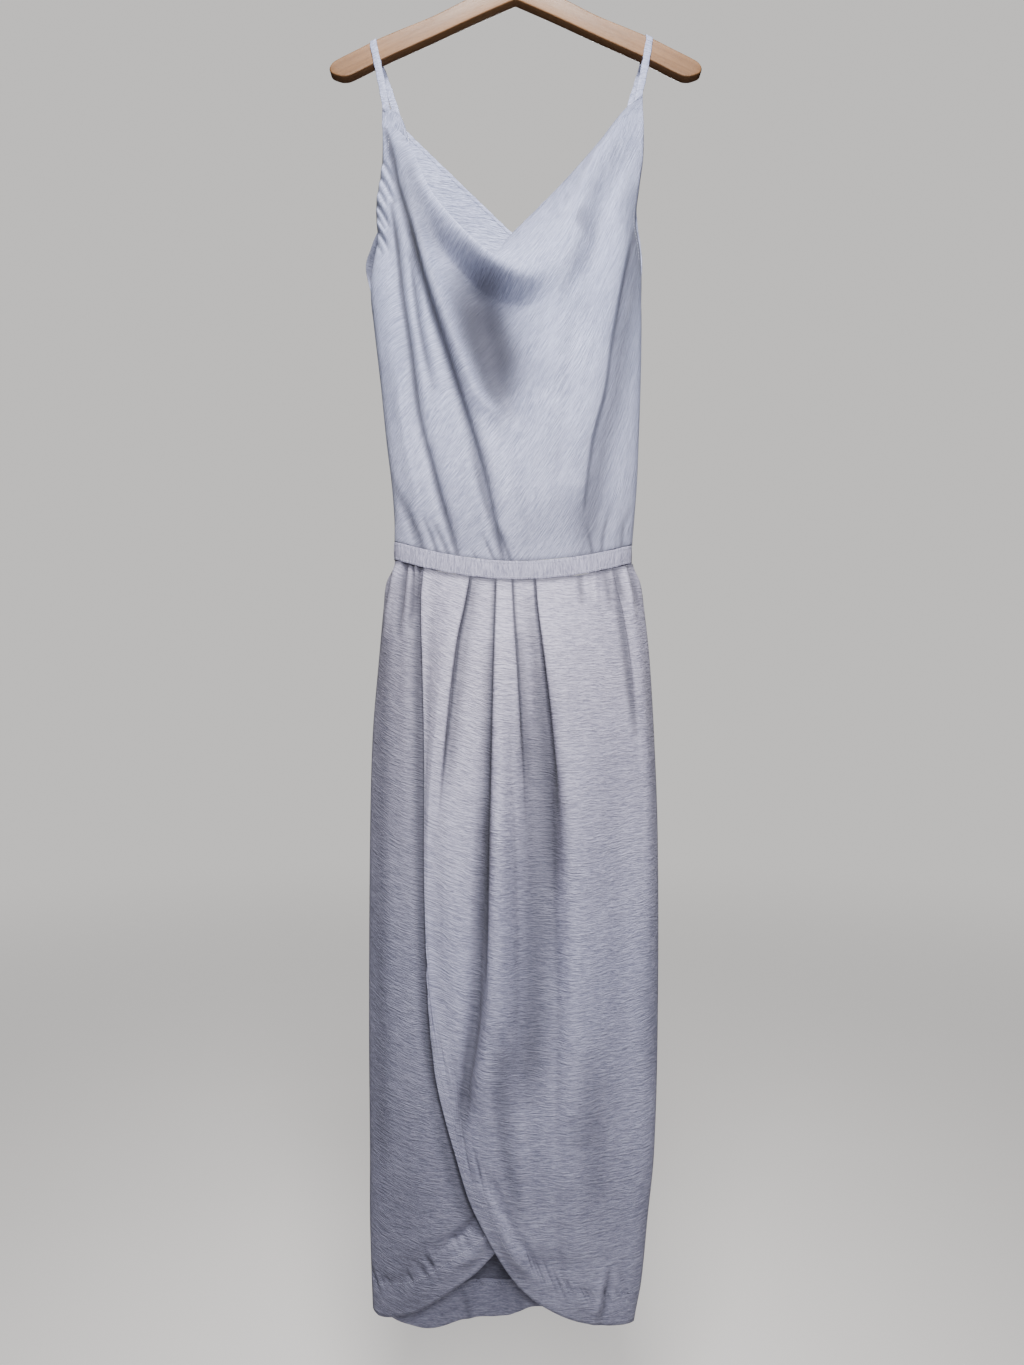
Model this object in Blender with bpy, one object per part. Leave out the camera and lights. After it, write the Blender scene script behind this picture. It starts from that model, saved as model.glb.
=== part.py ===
"""A long tulip dress with a draped cowl front, hanging by two narrow straps on a plain wooden hanger.

Lengths are in millimetres until a mesh is made. X runs across, with the wearer's left at +X. The
front faces -Y and Z is up. A drop is how far a point lies below the origin, which is the place
inside the hook that a rail carries. A depth is how far a point stands out to the front or back.
"""
import math
from collections import namedtuple

import bmesh
import bpy
from mathutils import Vector

Level = namedtuple("Level", "drop left right front back")
Edge = namedtuple("Edge", "drop x depth")
Point = namedtuple("Point", "x drop depth")
Side = namedtuple("Side", "drop x")
Hem = namedtuple("Hem", "x drop")
Reach = namedtuple("Reach", "out drop")
Fold = namedtuple("Fold", "drop edge reach turn rise")
Crease = namedtuple("Crease", "out width path")
Tuck = namedtuple("Tuck", "out left right path")
Lip = namedtuple("Lip", "share x drop depth")

MM = 0.001

# Walls and gaps
CLOTH = 1.0
BAND_CLOTH = 2.2
STRAP_CLOTH = 1.4
STRAP_WIDTH = 8.0
SEAM = 0.3
BAND_SEAM = 0.5
LAYER_GAP = 1.7

# Hanger and hook
HANGER_MIDDLE = 4.0
HANGER_THICKNESS = 15.0
HANGER_EDGE = 3.0
HOOK_WIRE = 3.8
HOOK_LOOP = 20.0
HOOK_STEM_FOOT = 48.0

# The outline of one arm of the hanger: its upper edge, its rounded end and its lower edge
HANGER_TOP = [
    Reach(14, 48),
    Reach(24, 60),
    Reach(38, 72),
    Reach(56, 81),
    Reach(90, 98),
    Reach(124, 112),
    Reach(150, 123),
    Reach(174, 135),
    Reach(192, 144),
    Reach(200, 149),
]
HANGER_TIP = [
    Reach(203.5, 155),
    Reach(202, 160),
    Reach(197, 163),
]
HANGER_FOOT = [
    Reach(190, 162),
    Reach(178, 157),
    Reach(142, 141),
    Reach(90, 119),
    Reach(40, 97),
    Reach(0, 80),
]

# How blunt the front and back are between the side seams, where 1 would be an ellipse
ROUNDNESS = 0.8

# The body of the dress from the armholes to the hem, a row for each level
BODY = [
    Level(200, -141, 142, 15, 13),
    Level(260, -141, 142, 29, 18),
    Level(330, -148, 139, 42, 26),
    Level(396, -155, 141, 49, 32),
    Level(430, -152, 142, 52, 34),
    Level(500, -144, 141, 53, 36),
    Level(560, -138, 139, 51, 36),
    Level(610, -132, 137, 48, 35),
    Level(650, -129, 134, 44, 34),
    Level(676, -129, 132, 41, 33),
    Level(698, -129, 131, 40, 33),
    Level(718, -138, 139, 41, 34),
    Level(745, -141, 143, 45, 36),
    Level(800, -146, 149, 51, 40),
    Level(885, -153, 154, 54, 42),
    Level(1000, -156, 158, 54, 42),
    Level(1210, -157, 158, 49, 38),
    Level(1345, -156, 154, 39, 31),
    Level(1415, -156, 147, 32, 26),
    Level(1485, -154, 140, 26, 21),
    Level(1530, -152, 132, 22, 18),
    Level(1560, -150, 131, 21, 17),
]

# The free edges of the front below the arms, from the strap corner down to the side seam
FRONT_LEFT_EDGE = [
    Edge(200, -141, 12),
    Edge(258, -141, 13),
    Edge(307, -148, 12),
    Edge(345, -147, 10),
    Edge(372, -152, 6),
    Edge(396, -155, SEAM / 2),
]
FRONT_RIGHT_EDGE = [
    Edge(187, 142, 12),
    Edge(250, 143, 13),
    Edge(285, 139, 13),
    Edge(324, 135, 11),
    Edge(355, 140, 6),
    Edge(385, 142, SEAM / 2),
]
BACK_LEFT_EDGE = [
    Edge(194, -133, 12),
    Edge(250, -136, 14),
    Edge(310, -146, 15),
    Edge(345, -158, 13),
    Edge(364, -162, 10),
    Edge(396, -155, SEAM / 2),
]
BACK_RIGHT_EDGE = [
    Edge(183, 137, 12),
    Edge(250, 138, 14),
    Edge(310, 139, 15),
    Edge(345, 143, 12),
    Edge(364, 144, 8),
    Edge(385, 142, SEAM / 2),
]

# The cowl: the free neckline edge, then the lip where the cloth turns over to the front. Both are read
# by the share of the way from the left strap to the right one
NECK_EDGE = [
    Lip(0.0, -141, 200, 12),
    Lip(0.04, -121, 212, 14),
    Lip(0.14, -99, 284, 20),
    Lip(0.25, -70, 341, 24),
    Lip(0.33, -45, 369, 26),
    Lip(0.40, -26, 379, 27),
    Lip(0.47, -5, 350, 26),
    Lip(0.56, 28, 316, 24),
    Lip(0.66, 52, 291, 23),
    Lip(0.76, 74, 266, 21),
    Lip(0.86, 97, 238, 18),
    Lip(0.94, 121, 206, 14),
    Lip(1.0, 142, 187, 12),
]
COWL_LIP = [
    Lip(0.0, -141, 224, 13),
    Lip(0.03, -123, 229, 18),
    Lip(0.07, -111, 247, 27),
    Lip(0.13, -99, 278, 38),
    Lip(0.20, -86, 308, 48),
    Lip(0.27, -68, 334, 56),
    Lip(0.35, -44, 362, 64),
    Lip(0.44, -15, 388, 70),
    Lip(0.50, 6, 400, 72),
    Lip(0.54, 20, 403, 73),
    Lip(0.59, 37, 397, 72),
    Lip(0.64, 51, 383, 70),
    Lip(0.68, 61, 363, 66),
    Lip(0.72, 68, 338, 60),
    Lip(0.77, 76, 308, 53),
    Lip(0.82, 87, 277, 45),
    Lip(0.88, 101, 251, 34),
    Lip(0.94, 121, 217, 20),
    Lip(1.0, 142, 206, 13),
]
LIP_FALL = 34.0

# Folds that hang in the front, each a soft ridge or trough along a short path of (x, drop)
FRONT_CREASES = [
    Crease(-3.5, 8, [(-137, 216), (-120, 290), (-100, 364), (-81, 424), (-56, 506), (-26, 602), (-7, 690)]),
    Crease(8.0, 13, [(-112, 300), (-92, 370), (-73, 420), (-50, 480), (-27, 530), (0, 566)]),
    Crease(-15.0, 25, [(-44, 408), (-28, 434), (-12, 470), (-2, 516)]),
    Crease(-4.0, 10, [(-4, 420), (-2, 470), (-4, 530)]),
    Crease(-3.0, 8, [(-113, 372), (-102, 430), (-90, 500)]),
    Crease(-3.5, 8, [(-122, 398), (-109, 470), (-99, 542), (-84, 602), (-62, 686)]),
    Crease(6.0, 24, [(34, 410), (38, 460), (33, 540), (24, 620)]),
    Crease(-3.0, 13, [(112, 232), (100, 262), (90, 292), (82, 324), (76, 352), (66, 380)]),
    Crease(4.0, 22, [(112, 300), (98, 380), (84, 460), (68, 550)]),
    Crease(-2.5, 9, [(62, 470), (52, 560), (44, 640)]),
]
FRONT_TUCKS = [
    Tuck(5.0, 6, 30, [(-130, 216), (-113, 290), (-93, 364), (-74, 424), (-49, 506), (-20, 602), (-2, 680)]),
    Tuck(7.0, 44, 7, [(137, 270), (130, 300), (121, 350), (113, 400), (105, 440), (96, 480), (88, 522), (76, 590)]),
]
BACK_CREASES = [
    Crease(4.0, 16, [(-70, 290), (-58, 420), (-48, 560), (-44, 680)]),
    Crease(-3.5, 12, [(-30, 350), (-24, 460), (-18, 600)]),
    Crease(3.5, 14, [(34, 350), (30, 470), (22, 600), (20, 680)]),
    Crease(-4.0, 11, [(112, 300), (98, 420), (86, 540), (80, 650)]),
    Crease(-3.0, 10, [(-118, 360), (-102, 470), (-92, 600)]),
]

# The four pleat edges of the over panel and the soft fold at its side. Each row gives where the
# visible edge lies, how wide the fold is, how far the cloth turns back under it and how far it stands out
PLEAT_A = [
    Fold(700, -42, 5, 4.0, 3.4),
    Fold(740, -48, 6, 4.6, 5.6),
    Fold(785, -56, 7, 5.0, 7.6),
    Fold(850, -64, 9, 4.6, 8.2),
    Fold(945, -74, 10, 1.0, 4.6),
    Fold(1040, -78, 9, 0, 1.8),
    Fold(1150, -78, 7, 0, 0.6),
    Fold(1290, -74, 5, 0, 0.2),
]
PLEAT_B = [
    Fold(700, -16, 4.4, 3.4, 3.4),
    Fold(750, -17, 4.6, 3.8, 5.4),
    Fold(840, -19, 6, 5.0, 8.0),
    Fold(972, -22, 9, 5.4, 10.0),
    Fold(1100, -24, 12, 4.4, 9.6),
    Fold(1190, -29, 15, 2.0, 7.5),
    Fold(1300, -43, 16, 0, 4.4),
    Fold(1400, -34, 14, 0, 2.0),
]
PLEAT_C = [
    Fold(700, -1, 4.4, 3.4, 3.4),
    Fold(750, 1, 4.6, 3.8, 5.0),
    Fold(795, 4, 6, 4.4, 6.0),
    Fold(867, 7, 9, 2.6, 4.6),
    Fold(935, 9, 11, 0, 2.0),
    Fold(1020, 6, 11, 0, 1.0),
    Fold(1150, -1, 11, 0, 1.6),
    Fold(1300, -14, 11, 0, 3.0),
    Fold(1400, 0, 11, 0, 3.0),
    Fold(1480, 16, 11, 0, 1.6),
]
PLEAT_D = [
    Fold(700, 24, 5, 4.0, 3.4),
    Fold(750, 27, 6, 4.6, 5.4),
    Fold(801, 33, 8, 5.0, 7.0),
    Fold(870, 41, 10, 4.6, 8.0),
    Fold(938, 47, 12, 3.0, 8.0),
    Fold(1040, 54, 15, 0, 6.5),
    Fold(1246, 55, 17, 0, 4.0),
    Fold(1400, 58, 17, 0, 2.0),
    Fold(1510, 62, 16, 0, 1.0),
]
SIDE_FOLD = [
    Fold(698, 107, 5, 1.5, 1.8),
    Fold(742, 115, 6, 2.0, 3.0),
    Fold(817, 126, 6, 1.5, 3.6),
    Fold(938, 136, 6, 0, 2.2),
    Fold(1100, 138, 6, 0, 1.0),
    Fold(1400, 128, 6, 0, 0.6),
    Fold(1520, 116, 5, 0, 0.4),
]
FOLD_STEPS = [-1.0, -0.62, -0.36, 0.0, 0.36, 0.62, 1.0]

# The free edges of the two wrap panels, as one line from the side of the wrap round to the hem
WRAP_EDGE = [
    Side(690, -92),
    Side(740, -95),
    Side(806, -93),
    Side(904, -91),
    Side(1040, -91),
    Side(1145, -88),
    Side(1202, -85.4),
]
OVER_HEM = [
    Hem(-85.4, 1202),
    Hem(-80, 1247),
    Hem(-71, 1288),
    Hem(-60, 1328),
    Hem(-45, 1379),
    Hem(-27, 1417),
    Hem(-6, 1456),
    Hem(14, 1481),
    Hem(34, 1498),
    Hem(61, 1513),
    Hem(98, 1523),
    Hem(133, 1526),
]
UNDER_EDGE = [
    Side(690, 95),
    Side(1040, 94),
    Side(1145, 90),
    Side(1202, 85.4),
]
UNDER_HEM = [
    Hem(-153, 1513),
    Hem(-144, 1518),
    Hem(-121, 1515),
    Hem(-103, 1509),
    Hem(-87, 1499),
    Hem(-54, 1474),
    Hem(-39, 1462),
    Hem(-20, 1441),
    Hem(6, 1409),
    Hem(27, 1378),
    Hem(45, 1340),
    Hem(60, 1298),
    Hem(71, 1256),
    Hem(85.4, 1202),
]
BACK_HEM = [
    Hem(-153, 1515),
    Hem(-124, 1537),
    Hem(-93, 1547),
    Hem(-50, 1536),
    Hem(-7, 1534),
    Hem(26, 1522),
    Hem(70, 1530),
    Hem(133, 1527),
]
BACK_SKIRT_CREASES = [
    Crease(6.0, 17, [(-88, 700), (-92, 900), (-100, 1150), (-98, 1420), (-96, 1550)]),
    Crease(-4.0, 13, [(-52, 720), (-56, 900), (-60, 1100), (-58, 1300)]),
    Crease(5.0, 16, [(-14, 700), (-18, 920), (-20, 1200), (-26, 1400), (-30, 1540)]),
    Crease(-4.5, 12, [(28, 715), (32, 900), (40, 1150), (30, 1400), (26, 1530)]),
    Crease(6.0, 17, [(72, 700), (80, 920), (90, 1150), (88, 1350), (80, 1520)]),
    Crease(-3.5, 11, [(112, 730), (122, 900), (124, 1100)]),
]
UNDER_CREASES = [
    Crease(2.6, 8, [(-109, 720), (-111, 790), (-113, 900), (-116, 1020)]),
    Crease(-2.2, 6, [(-101, 715), (-101, 790), (-103, 860)]),
    Crease(2.0, 9, [(-122, 745), (-128, 790), (-134, 860)]),
    Crease(-2.0, 8, [(-36, 1395), (-50, 1425), (-66, 1446)]),
]
OVER_CREASES = [
    Crease(2.6, 16, [(98, 760), (104, 900), (108, 1050), (104, 1250)]),
    Crease(-2.4, 16, [(78, 800), (84, 950), (86, 1150), (84, 1300)]),
    Crease(2.0, 8, [(-8, 1392), (6, 1440), (18, 1470)]),
    Crease(-1.6, 8, [(106, 1480), (94, 1500), (84, 1518)]),
]

# The waistband dips at the middle of the front, and less at the back
WAIST = 690.0
BAND_HEIGHT = 20.0
BAND_TOP_LEFT = 673.0
BAND_TOP_RIGHT = 677.0
BAND_SAG_FRONT = 23.0
BAND_SAG_BACK = 14.0
BAND_PROUD = 2.6

# Gathers fade out over this length from the seam that holds them
GATHER_FADE = 46.0


def smooth_through(rows, at):
    """The row of a table at a place between its rows, every column on a smooth curve."""
    if at <= rows[0][0]:
        return rows[0]
    if at >= rows[-1][0]:
        return rows[-1]
    low = max(i for i in range(len(rows) - 1) if rows[i][0] <= at)
    start, end = rows[low], rows[low + 1]
    before, after = rows[max(low - 1, 0)], rows[min(low + 2, len(rows) - 1)]
    span = end[0] - start[0]
    t = (at - start[0]) / span
    values = []
    for column in range(len(start)):
        leave = (end[column] - before[column]) / (end[0] - before[0]) * span
        arrive = (after[column] - start[column]) / (after[0] - start[0]) * span
        values.append(
            start[column] * (1 + 2 * t) * (1 - t) ** 2
            + leave * t * (1 - t) ** 2
            + end[column] * t * t * (3 - 2 * t)
            + arrive * t * t * (t - 1)
        )
    return type(start)(*values)


def ease(value):
    """Rises smoothly from 0 to 1."""
    value = min(max(value, 0.0), 1.0)
    return value * value * (3 - 2 * value)


def mix(start, end, share):
    return start + (end - start) * share


def material(name, colour, roughness, metallic=0.0):
    made = bpy.data.materials.new(name)
    made.use_nodes = True
    shader = made.node_tree.nodes["Principled BSDF"]
    shader.inputs["Base Color"].default_value = (*colour, 1.0)
    shader.inputs["Roughness"].default_value = roughness
    shader.inputs["Metallic"].default_value = metallic
    made.diffuse_color = (*colour, 1.0)
    return made


def add_object(name, data, finish):
    """Puts a mesh or curve in the scene as one named piece under the dress."""
    piece = bpy.data.objects.new(name, data)
    data.materials.append(finish)
    bpy.context.scene.collection.objects.link(piece)
    piece.parent = dress
    return piece


def wall(name, rows, thickness, finish, level_rows=()):
    """A closed wall of cloth, its middle points in rows from the top, each row to the right as its outside is seen.

    At a side seam the wall ends in the plane between front and back, and at level_rows in a level
    plane, so that pieces that are sewn together never cross.
    """
    count, wide = len(rows), len(rows[0])
    mesh = bmesh.new()
    outer, inner = [], []
    for j, row in enumerate(rows):
        above, below = rows[max(j - 1, 0)], rows[min(j + 1, count - 1)]
        for i, point in enumerate(row):
            down = below[i] - above[i]
            across = row[min(i + 1, wide - 1)] - row[max(i - 1, 0)]
            out = down.cross(across)
            if abs(point.y) < SEAM:
                out.y = 0
            if j in level_rows:
                out.z = 0
            out = out.normalized() * thickness / 2
            outer.append(mesh.verts.new((point + out) * MM))
            inner.append(mesh.verts.new((point - out) * MM))

    def at(side, j, i):
        return side[j * wide + i]

    for j in range(count - 1):
        for i in range(wide - 1):
            corners = [(j, i), (j + 1, i), (j + 1, i + 1), (j, i + 1)]
            mesh.faces.new([at(outer, *corner) for corner in corners])
            mesh.faces.new([at(inner, *corner) for corner in reversed(corners)])
    rim = [(0, i) for i in range(wide)]
    rim += [(j, wide - 1) for j in range(1, count)]
    rim += [(count - 1, i) for i in range(wide - 2, -1, -1)]
    rim += [(j, 0) for j in range(count - 2, 0, -1)]
    for here, there in zip(rim, rim[1:] + rim[:1]):
        mesh.faces.new([at(outer, *here), at(outer, *there), at(inner, *there), at(inner, *here)])
    data = bpy.data.meshes.new(name)
    mesh.to_mesh(data)
    mesh.free()
    data.shade_smooth()
    data.set_sharp_from_angle(angle=math.radians(60))
    return add_object(name, data, finish)


def along(path, x, drop):
    """Distance across a path of (x, drop) points from it to a place, and how far in from the path's ends it lies."""
    line = [Side(below, across) for across, below in path]
    near = smooth_through(line, drop).x
    next_on = smooth_through(line, drop + 4).x
    lean = math.cos(math.atan2(next_on - near, 4))
    return (x - near) * lean, min(drop - path[0][1], path[-1][1] - drop)


def crease_height(creases, x, drop):
    """How far a set of soft ridges and troughs moves the cloth out at a place."""
    total = 0.0
    for crease in creases:
        if not crease.path[0][1] - 3 * crease.width < drop < crease.path[-1][1] + 3 * crease.width:
            continue
        across, inside = along(crease.path, x, drop)
        distance = math.hypot(across, min(inside, 0.0)) / crease.width
        total += crease.out * math.exp(-distance * distance) * mix(0.35, 1.0, ease(inside / 40))
    return total


def tuck_height(tucks, x, drop):
    """Height of folds that rise gently on one side of their edge and fall away sharply on the other."""
    total = 0.0
    for tuck in tucks:
        across, inside = along(tuck.path, x, drop)
        flank = tuck.left if across < 0 else tuck.right
        total += tuck.out * ease(1 - abs(across) / flank) * ease((inside + 25) / 50)
    return total


def ring_point(drop, turn, side, edge_depth, creases, out):
    """A place on the dress: turn runs from -1 at the left seam to 1 at the right, side is -1 at the front."""
    level = smooth_through(BODY, drop)
    reach = level.front if side < 0 else level.back

    def flat(at_turn):
        angle = at_turn * math.pi / 2
        x = mix(level.left, level.right, (1 + math.sin(angle)) / 2)
        depth = edge_depth + (reach - edge_depth) * max(math.cos(angle), 0.0) ** ROUNDNESS
        return x, depth

    x, depth = flat(turn)
    after, before = flat(min(turn + 0.01, 1)), flat(max(turn - 0.01, -1))
    run, rise = after[0] - before[0], after[1] - before[1]
    length = math.hypot(run, rise)
    out += crease_height(creases, x, drop)
    return Vector((x - rise / length * out, side * (depth + run / length * out), -drop))


def turn_at(drop, x):
    """The turn at which the body reaches a given x."""
    level = smooth_through(BODY, drop)
    share = 2 * (x - level.left) / (level.right - level.left) - 1
    return math.asin(min(max(share, -1.0), 1.0)) * 2 / math.pi


def band_top(x, side):
    share = min(abs(2 * (x + 129) / 260 - 1), 1.0)
    sag = BAND_SAG_FRONT if side < 0 else BAND_SAG_BACK
    ends = mix(BAND_TOP_LEFT, BAND_TOP_RIGHT, (x + 129) / 260)
    return ends + sag * (1 - share * share)


def band_foot(x, side):
    return band_top(x, side) + BAND_HEIGHT


def fold_place(rows, high_left, step, drop):
    """One line of a pleat's fold: its x, and its height from 0 in the recess to the rise on the panel."""
    fold = smooth_through(rows, drop)
    turn = max(fold.turn, 0.0)
    crest = 0.0
    if turn * math.pi > fold.reach:
        peak = math.acos(fold.reach / (turn * math.pi)) / math.pi
        crest = turn * math.sin(math.pi * peak) - fold.reach * peak
    across = fold.reach * step - turn * math.sin(math.pi * step)
    if high_left:
        x = fold.edge - crest + across
        height = fold.rise * (1 - math.sin(step * math.pi / 2)) / 2
    else:
        x = fold.edge + crest + across
        height = fold.rise * (1 + math.sin(step * math.pi / 2)) / 2
    return x, height


def fold_columns(rows, high_left):
    return [lambda drop, s=step: fold_place(rows, high_left, s, drop) for step in FOLD_STEPS]


def between(first, second, shares, ripple=0.0):
    """Columns between two others, every second one lifted near the waist where the cloth is gathered."""
    made = []
    for number, share in enumerate(shares):

        def column(drop, share=share, sign=1 if number % 2 else -1):
            (x0, h0), (x1, h1) = first(drop), second(drop)
            fade = 1 - ease((drop - 705) / GATHER_FADE)
            return mix(x0, x1, share), mix(h0, h1, ease(share)) + (1 + sign) * ripple * fade
        made.append(column)
    return made


def skirt_rows(columns, hem, shares, lift, creases):
    """Rows of points for a skirt panel: each column runs from the waistband to where it meets the hem."""
    lines = []
    for column in columns:
        top = 700.0
        for _ in range(8):
            top = band_foot(column(top)[0], -1) + SEAM
        low, high = 1150.0, 1560.0
        for _ in range(24):
            middle = (low + high) / 2
            if smooth_through(hem, column(middle)[0]).drop > middle:
                low = middle
            else:
                high = middle
        line = []
        for share in shares:
            drop = mix(top, low, share)
            x, height = column(drop)
            line.append(ring_point(drop, turn_at(drop, x), -1, SEAM / 2, creases, height + lift(drop, x)))
        lines.append(line)
    return [[line[j] for line in lines] for j in range(len(shares))]


def down_shares(count, crowd):
    """Places from 0 to 1, closer together at the start."""
    return [(j / (count - 1)) ** crowd for j in range(count)]


def over_panel():
    """Rows of the wrap's upper layer: its free edge, four pleats, the side fold and the seam, with plain cloth between."""

    def wrap(drop):
        return smooth_through(WRAP_EDGE, drop).x, 0.0

    def seam(drop):
        return smooth_through(BODY, drop).right, -LAYER_GAP

    fold_a, fold_b = fold_columns(PLEAT_A, True), fold_columns(PLEAT_B, False)
    fold_c, fold_d = fold_columns(PLEAT_C, True), fold_columns(PLEAT_D, False)
    side = fold_columns(SIDE_FOLD, False)
    columns = [wrap] + between(wrap, fold_a[0], [0.33, 0.67])
    columns += fold_a + between(fold_a[-1], fold_b[0], [0.5])
    columns += fold_b + between(fold_b[-1], fold_c[0], [0.5])
    columns += fold_c + between(fold_c[-1], fold_d[0], [0.5])
    columns += fold_d + between(fold_d[-1], side[0], [0.16, 0.34, 0.52])
    columns += between(fold_d[-1], side[0], [0.6, 0.68, 0.76, 0.84, 0.92], 2.0)
    columns += side + between(side[-1], seam, [0.25, 0.5, 0.75, 0.92], 1.5) + [seam]
    return skirt_rows(columns, OVER_HEM, down_shares(21, 1.25), lambda drop, x: LAYER_GAP, OVER_CREASES)


def under_panel():
    """Rows of the wrap's lower layer from the side seam to its edge behind the other layer."""

    def seam(drop):
        return smooth_through(BODY, drop).left, 0.0

    def inner(drop):
        return smooth_through(UNDER_EDGE, drop).x, 0.0

    gathered = [0.012, 0.03, 0.05, 0.07, 0.092, 0.114, 0.136]
    plain = [0.16, 0.2, 0.26, 0.34, 0.43, 0.53, 0.64, 0.76, 0.88]
    columns = [seam] + between(seam, inner, gathered, 1.7)
    columns += between(seam, inner, plain) + [inner]
    return skirt_rows(columns, UNDER_HEM, down_shares(20, 1.2), lambda drop, x: 0.0, UNDER_CREASES)


def back_panel(rows_down=18, across=29):
    """The back of the skirt, from the right seam round to the left as its outside is seen."""
    rows = []
    for share in down_shares(rows_down, 1.2):
        row = []
        for i in range(across):
            turn = 1 - 2 * i / (across - 1)
            level = smooth_through(BODY, 700)
            top_x = mix(level.left, level.right, (1 + math.sin(turn * math.pi / 2)) / 2)
            top = band_foot(top_x, 1) + SEAM
            hem_x = mix(-152, 132, (1 + math.sin(turn * math.pi / 2)) / 2)
            drop = mix(top, smooth_through(BACK_HEM, hem_x).drop, share)
            ripple = (1.5 if i % 2 else -1.5) * (1 - ease((drop - top) / GATHER_FADE))
            ripple *= 0.0 if i in (0, across - 1) else 1.0
            row.append(ring_point(drop, turn, 1, SEAM / 2, BACK_SKIRT_CREASES, ripple))
        rows.append(row)
    return rows


def band(side, across=29):
    """Half of the waistband, seen from outside."""
    rows = []
    for share in (0.0, 0.5, 1.0):
        row = []
        for i in range(across):
            turn = side * (1 - 2 * i / (across - 1))
            x = ring_point(WAIST, turn, side, SEAM / 2, [], 0.0).x
            pleated = ease((x + 120) / 40) * ease((120 - x) / 50) if side < 0 else 0.0
            point = ring_point(WAIST, turn, side, SEAM / 2, [], BAND_PROUD * pleated + 0.4)
            point.z = -band_top(point.x, side) - BAND_HEIGHT * share
            row.append(point)
        rows.append(row)
    return rows


def body_edge(rows, column, drop):
    """The free edge of the front or back at a drop, which lower down is the side seam."""
    if drop < rows[-1].drop:
        return smooth_through(rows, drop)
    level = smooth_through(BODY, drop)
    return Edge(drop, getattr(level, column), SEAM / 2)


def gather_wave(number, strength, from_seam):
    sign = 1 if number % 2 else -1
    return sign * strength * (1 - ease(from_seam / GATHER_FADE))


def surface_depth(drop, x, left, right, reach, creases, tucks=()):
    """Depth of the front or back between its two free edges."""
    share = min(max(2 * (x - left.x) / (right.x - left.x) - 1, -1.0), 1.0)
    edge = mix(left.depth, right.depth, (share + 1) / 2)
    round_off = (1 - share * share) ** (ROUNDNESS / 2)
    inside = ease((1 - abs(share)) / 0.16)
    folds = crease_height(creases, x, drop) + tuck_height(tucks, x, drop)
    return edge + (reach - edge) * round_off + folds * inside


def lip_line(count=60):
    return [smooth_through(COWL_LIP, i / count) for i in range(count + 1)]


def from_lip(line, x, drop):
    """Distance from a place to the cowl's lip, and how far out the lip stands where it is nearest."""
    best = (1e9, 0.0)
    for here, there in zip(line, line[1:]):
        run, fall = there.x - here.x, there.drop - here.drop
        share = ((x - here.x) * run + (drop - here.drop) * fall) / (run * run + fall * fall)
        share = min(max(share, 0.0), 1.0)
        distance = math.hypot(x - mix(here.x, there.x, share), drop - mix(here.drop, there.drop, share))
        best = min(best, (distance, mix(here.depth, there.depth, share)))
    return best


def bodice_front():
    """Rows from the neckline edge over the cowl's lip and down to the waistband."""
    across, down = 39, 20
    line = lip_line()
    shares = [i / (across - 1) for i in range(across)]
    rows = []
    for part in (0.0, 0.3, 0.6, 0.85):
        row = []
        for share in shares:
            edge, lip = smooth_through(NECK_EDGE, share), smooth_through(COWL_LIP, share)
            depth = mix(edge.depth, lip.depth, math.sin(part * math.pi / 2))
            row.append(Vector((mix(edge.x, lip.x, part), -depth, -mix(edge.drop, lip.drop, part))))
        rows.append(row)
    for j in range(down + 1):
        fall = (j / down) ** 1.15
        left = body_edge(FRONT_LEFT_EDGE, "left", mix(224, BAND_TOP_LEFT - BAND_SEAM, fall))
        right = body_edge(FRONT_RIGHT_EDGE, "right", mix(206, BAND_TOP_RIGHT - BAND_SEAM, fall))
        row = []
        for i, share in enumerate(shares):
            lip = smooth_through(COWL_LIP, share)
            lip_share = (lip.x - COWL_LIP[0].x) / (COWL_LIP[-1].x - COWL_LIP[0].x)
            x = mix(left.x, right.x, mix(lip_share, share, ease(fall * 1.5)))
            foot = band_top(x, -1) - BAND_SEAM
            drop = mix(lip.drop, foot, fall)
            level = smooth_through(BODY, drop)
            hung = surface_depth(drop, x, left, right, level.front, FRONT_CREASES, FRONT_TUCKS)
            distance, stand = from_lip(line, x, drop)
            depth = mix(stand, hung, ease(distance / LIP_FALL))
            if 0 < i < across - 1:
                depth += gather_wave(i, 1.6, foot - drop)
            rim = 1 - ease(min(i, across - 1 - i) / 2)
            depth += (1.2 if j % 2 else -1.2) * rim * ease((396 - drop) / 30) * (j > 0)
            row.append(Vector((x, -depth, -drop)))
        rows.append(row)
    return rows


def bodice_back():
    """Rows from the V neckline down to the waistband, seen from behind."""
    across, down = 27, 20
    rows = []
    for j in range(down + 1):
        fall = (j / down) ** 1.1
        left = body_edge(BACK_LEFT_EDGE, "left", mix(194, BAND_TOP_LEFT - BAND_SEAM, fall))
        right = body_edge(BACK_RIGHT_EDGE, "right", mix(184, BAND_TOP_RIGHT - BAND_SEAM, fall))
        row = []
        for i in range(across):
            share = 1 - i / (across - 1)
            x = mix(left.x, right.x, share)
            top_x = mix(-133, 137, share)
            top = mix(mix(194, 184, share), 323, (1 - abs(top_x) / 137) ** 0.94)
            foot = band_top(x, 1) - BAND_SEAM
            drop = mix(top, foot, fall)
            level = smooth_through(BODY, drop)
            depth = surface_depth(drop, x, left, right, level.back, BACK_CREASES)
            if 0 < i < across - 1:
                depth += gather_wave(i, 1.4, foot - drop)
            rim = 1 - ease(min(i, across - 1 - i) / 2)
            depth += (1.2 if j % 2 else -1.2) * rim * ease((396 - drop) / 30)
            row.append(Vector((x, depth, -drop)))
        rows.append(row)
    return rows


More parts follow.
